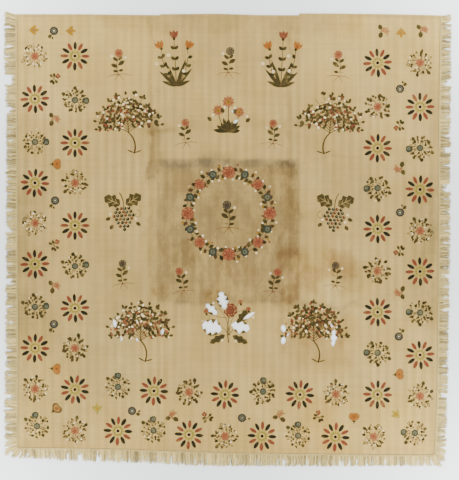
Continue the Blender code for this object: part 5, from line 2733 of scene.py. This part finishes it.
@dataclass
class Studio:
    """A pale floor, four soft lights over the corners, a pale surround and a camera straight above."""

    aim: Point = (0.0095, -0.0035)
    view_height: float = 2.4
    lens: float = 85.0
    sensor: float = 36.0
    floor_size: float = 16.0
    floor_colour: Colour = (0.915, 0.965, 0.945)
    surround: float = 0.64
    corner_lights: tuple[tuple[float, float, float], ...] = (
        # (x, y, watts)
        (-1.85, 1.9, 88.0), (1.85, 1.9, 98.0), (-1.85, -1.9, 95.0), (1.85, -1.9, 110.0),
    )
    light_height: float = 0.75
    light_size: float = 1.3
    light_tilt: float = 0.62

    def build(self) -> None:
        """Sets up the whole studio."""
        self.build_floor()
        self.build_surround()
        for number, (x, y, watts) in enumerate(self.corner_lights):
            self.build_light(f"corner_light_{number}", x, y, watts)
        self.build_camera()

    def build_floor(self) -> None:
        """Lays a plain pale floor."""
        half = 0.5 * self.floor_size
        corners = [(x * half, y * half, 0.0) for x, y in ((-1, -1), (1, -1), (1, 1), (-1, 1))]
        mesh = bpy.data.meshes.new("floor")
        mesh.from_pydata(corners, [], [(0, 1, 2, 3)])
        floor = add_object("floor", mesh)
        material = bpy.data.materials.new("pale_floor")
        material.use_nodes = True
        settings = {"Base Color": (*self.floor_colour, 1.0), "Roughness": 0.9, "Specular IOR Level": 0.1}
        for label, value in settings.items():
            material.node_tree.nodes["Principled BSDF"].inputs[label].default_value = value
        mesh.materials.append(material)

    def build_surround(self) -> None:
        """An even pale light from all round."""
        world = bpy.data.worlds.new("pale_surround")
        world.use_nodes = True
        background = world.node_tree.nodes["Background"]
        background.inputs["Color"].default_value = (1.0, 1.0, 1.0, 1.0)
        background.inputs["Strength"].default_value = self.surround
        bpy.context.scene.world = world

    def build_light(self, name: str, x: float, y: float, watts: float) -> None:
        """Hangs a soft square light over one corner, tipped a little towards the middle.

        Args:
            name: The light's name.
            x: How far right it hangs.
            y: How far up it hangs.
            watts: Its power.
        """
        data = bpy.data.lights.new(name, "AREA")
        data.shape = "SQUARE"
        data.size = self.light_size
        data.energy = watts
        light = bpy.data.objects.new(name, data)
        light.location = (x, y, self.light_height)
        away = Vector((self.light_tilt * x, self.light_tilt * y, self.light_height))
        light.rotation_euler = away.to_track_quat("Z", "Y").to_euler()
        light.visible_camera = False
        bpy.context.scene.collection.objects.link(light)

    def build_camera(self) -> None:
        """A camera straight above, with the hemmed edge up."""
        data = bpy.data.cameras.new("camera")
        data.lens = self.lens
        data.sensor_width = self.sensor
        camera = bpy.data.objects.new("camera", data)
        camera.location = (*self.aim, self.view_height * self.lens / self.sensor)
        bpy.context.scene.collection.objects.link(camera)
        bpy.context.scene.camera = camera


def main() -> None:
    """Builds the coverlet and the studio."""
    logging.basicConfig(level=logging.INFO, format="%(name)s: %(message)s")
    Studio().build()
    Coverlet().build()


if __name__ == "__main__":
    main()
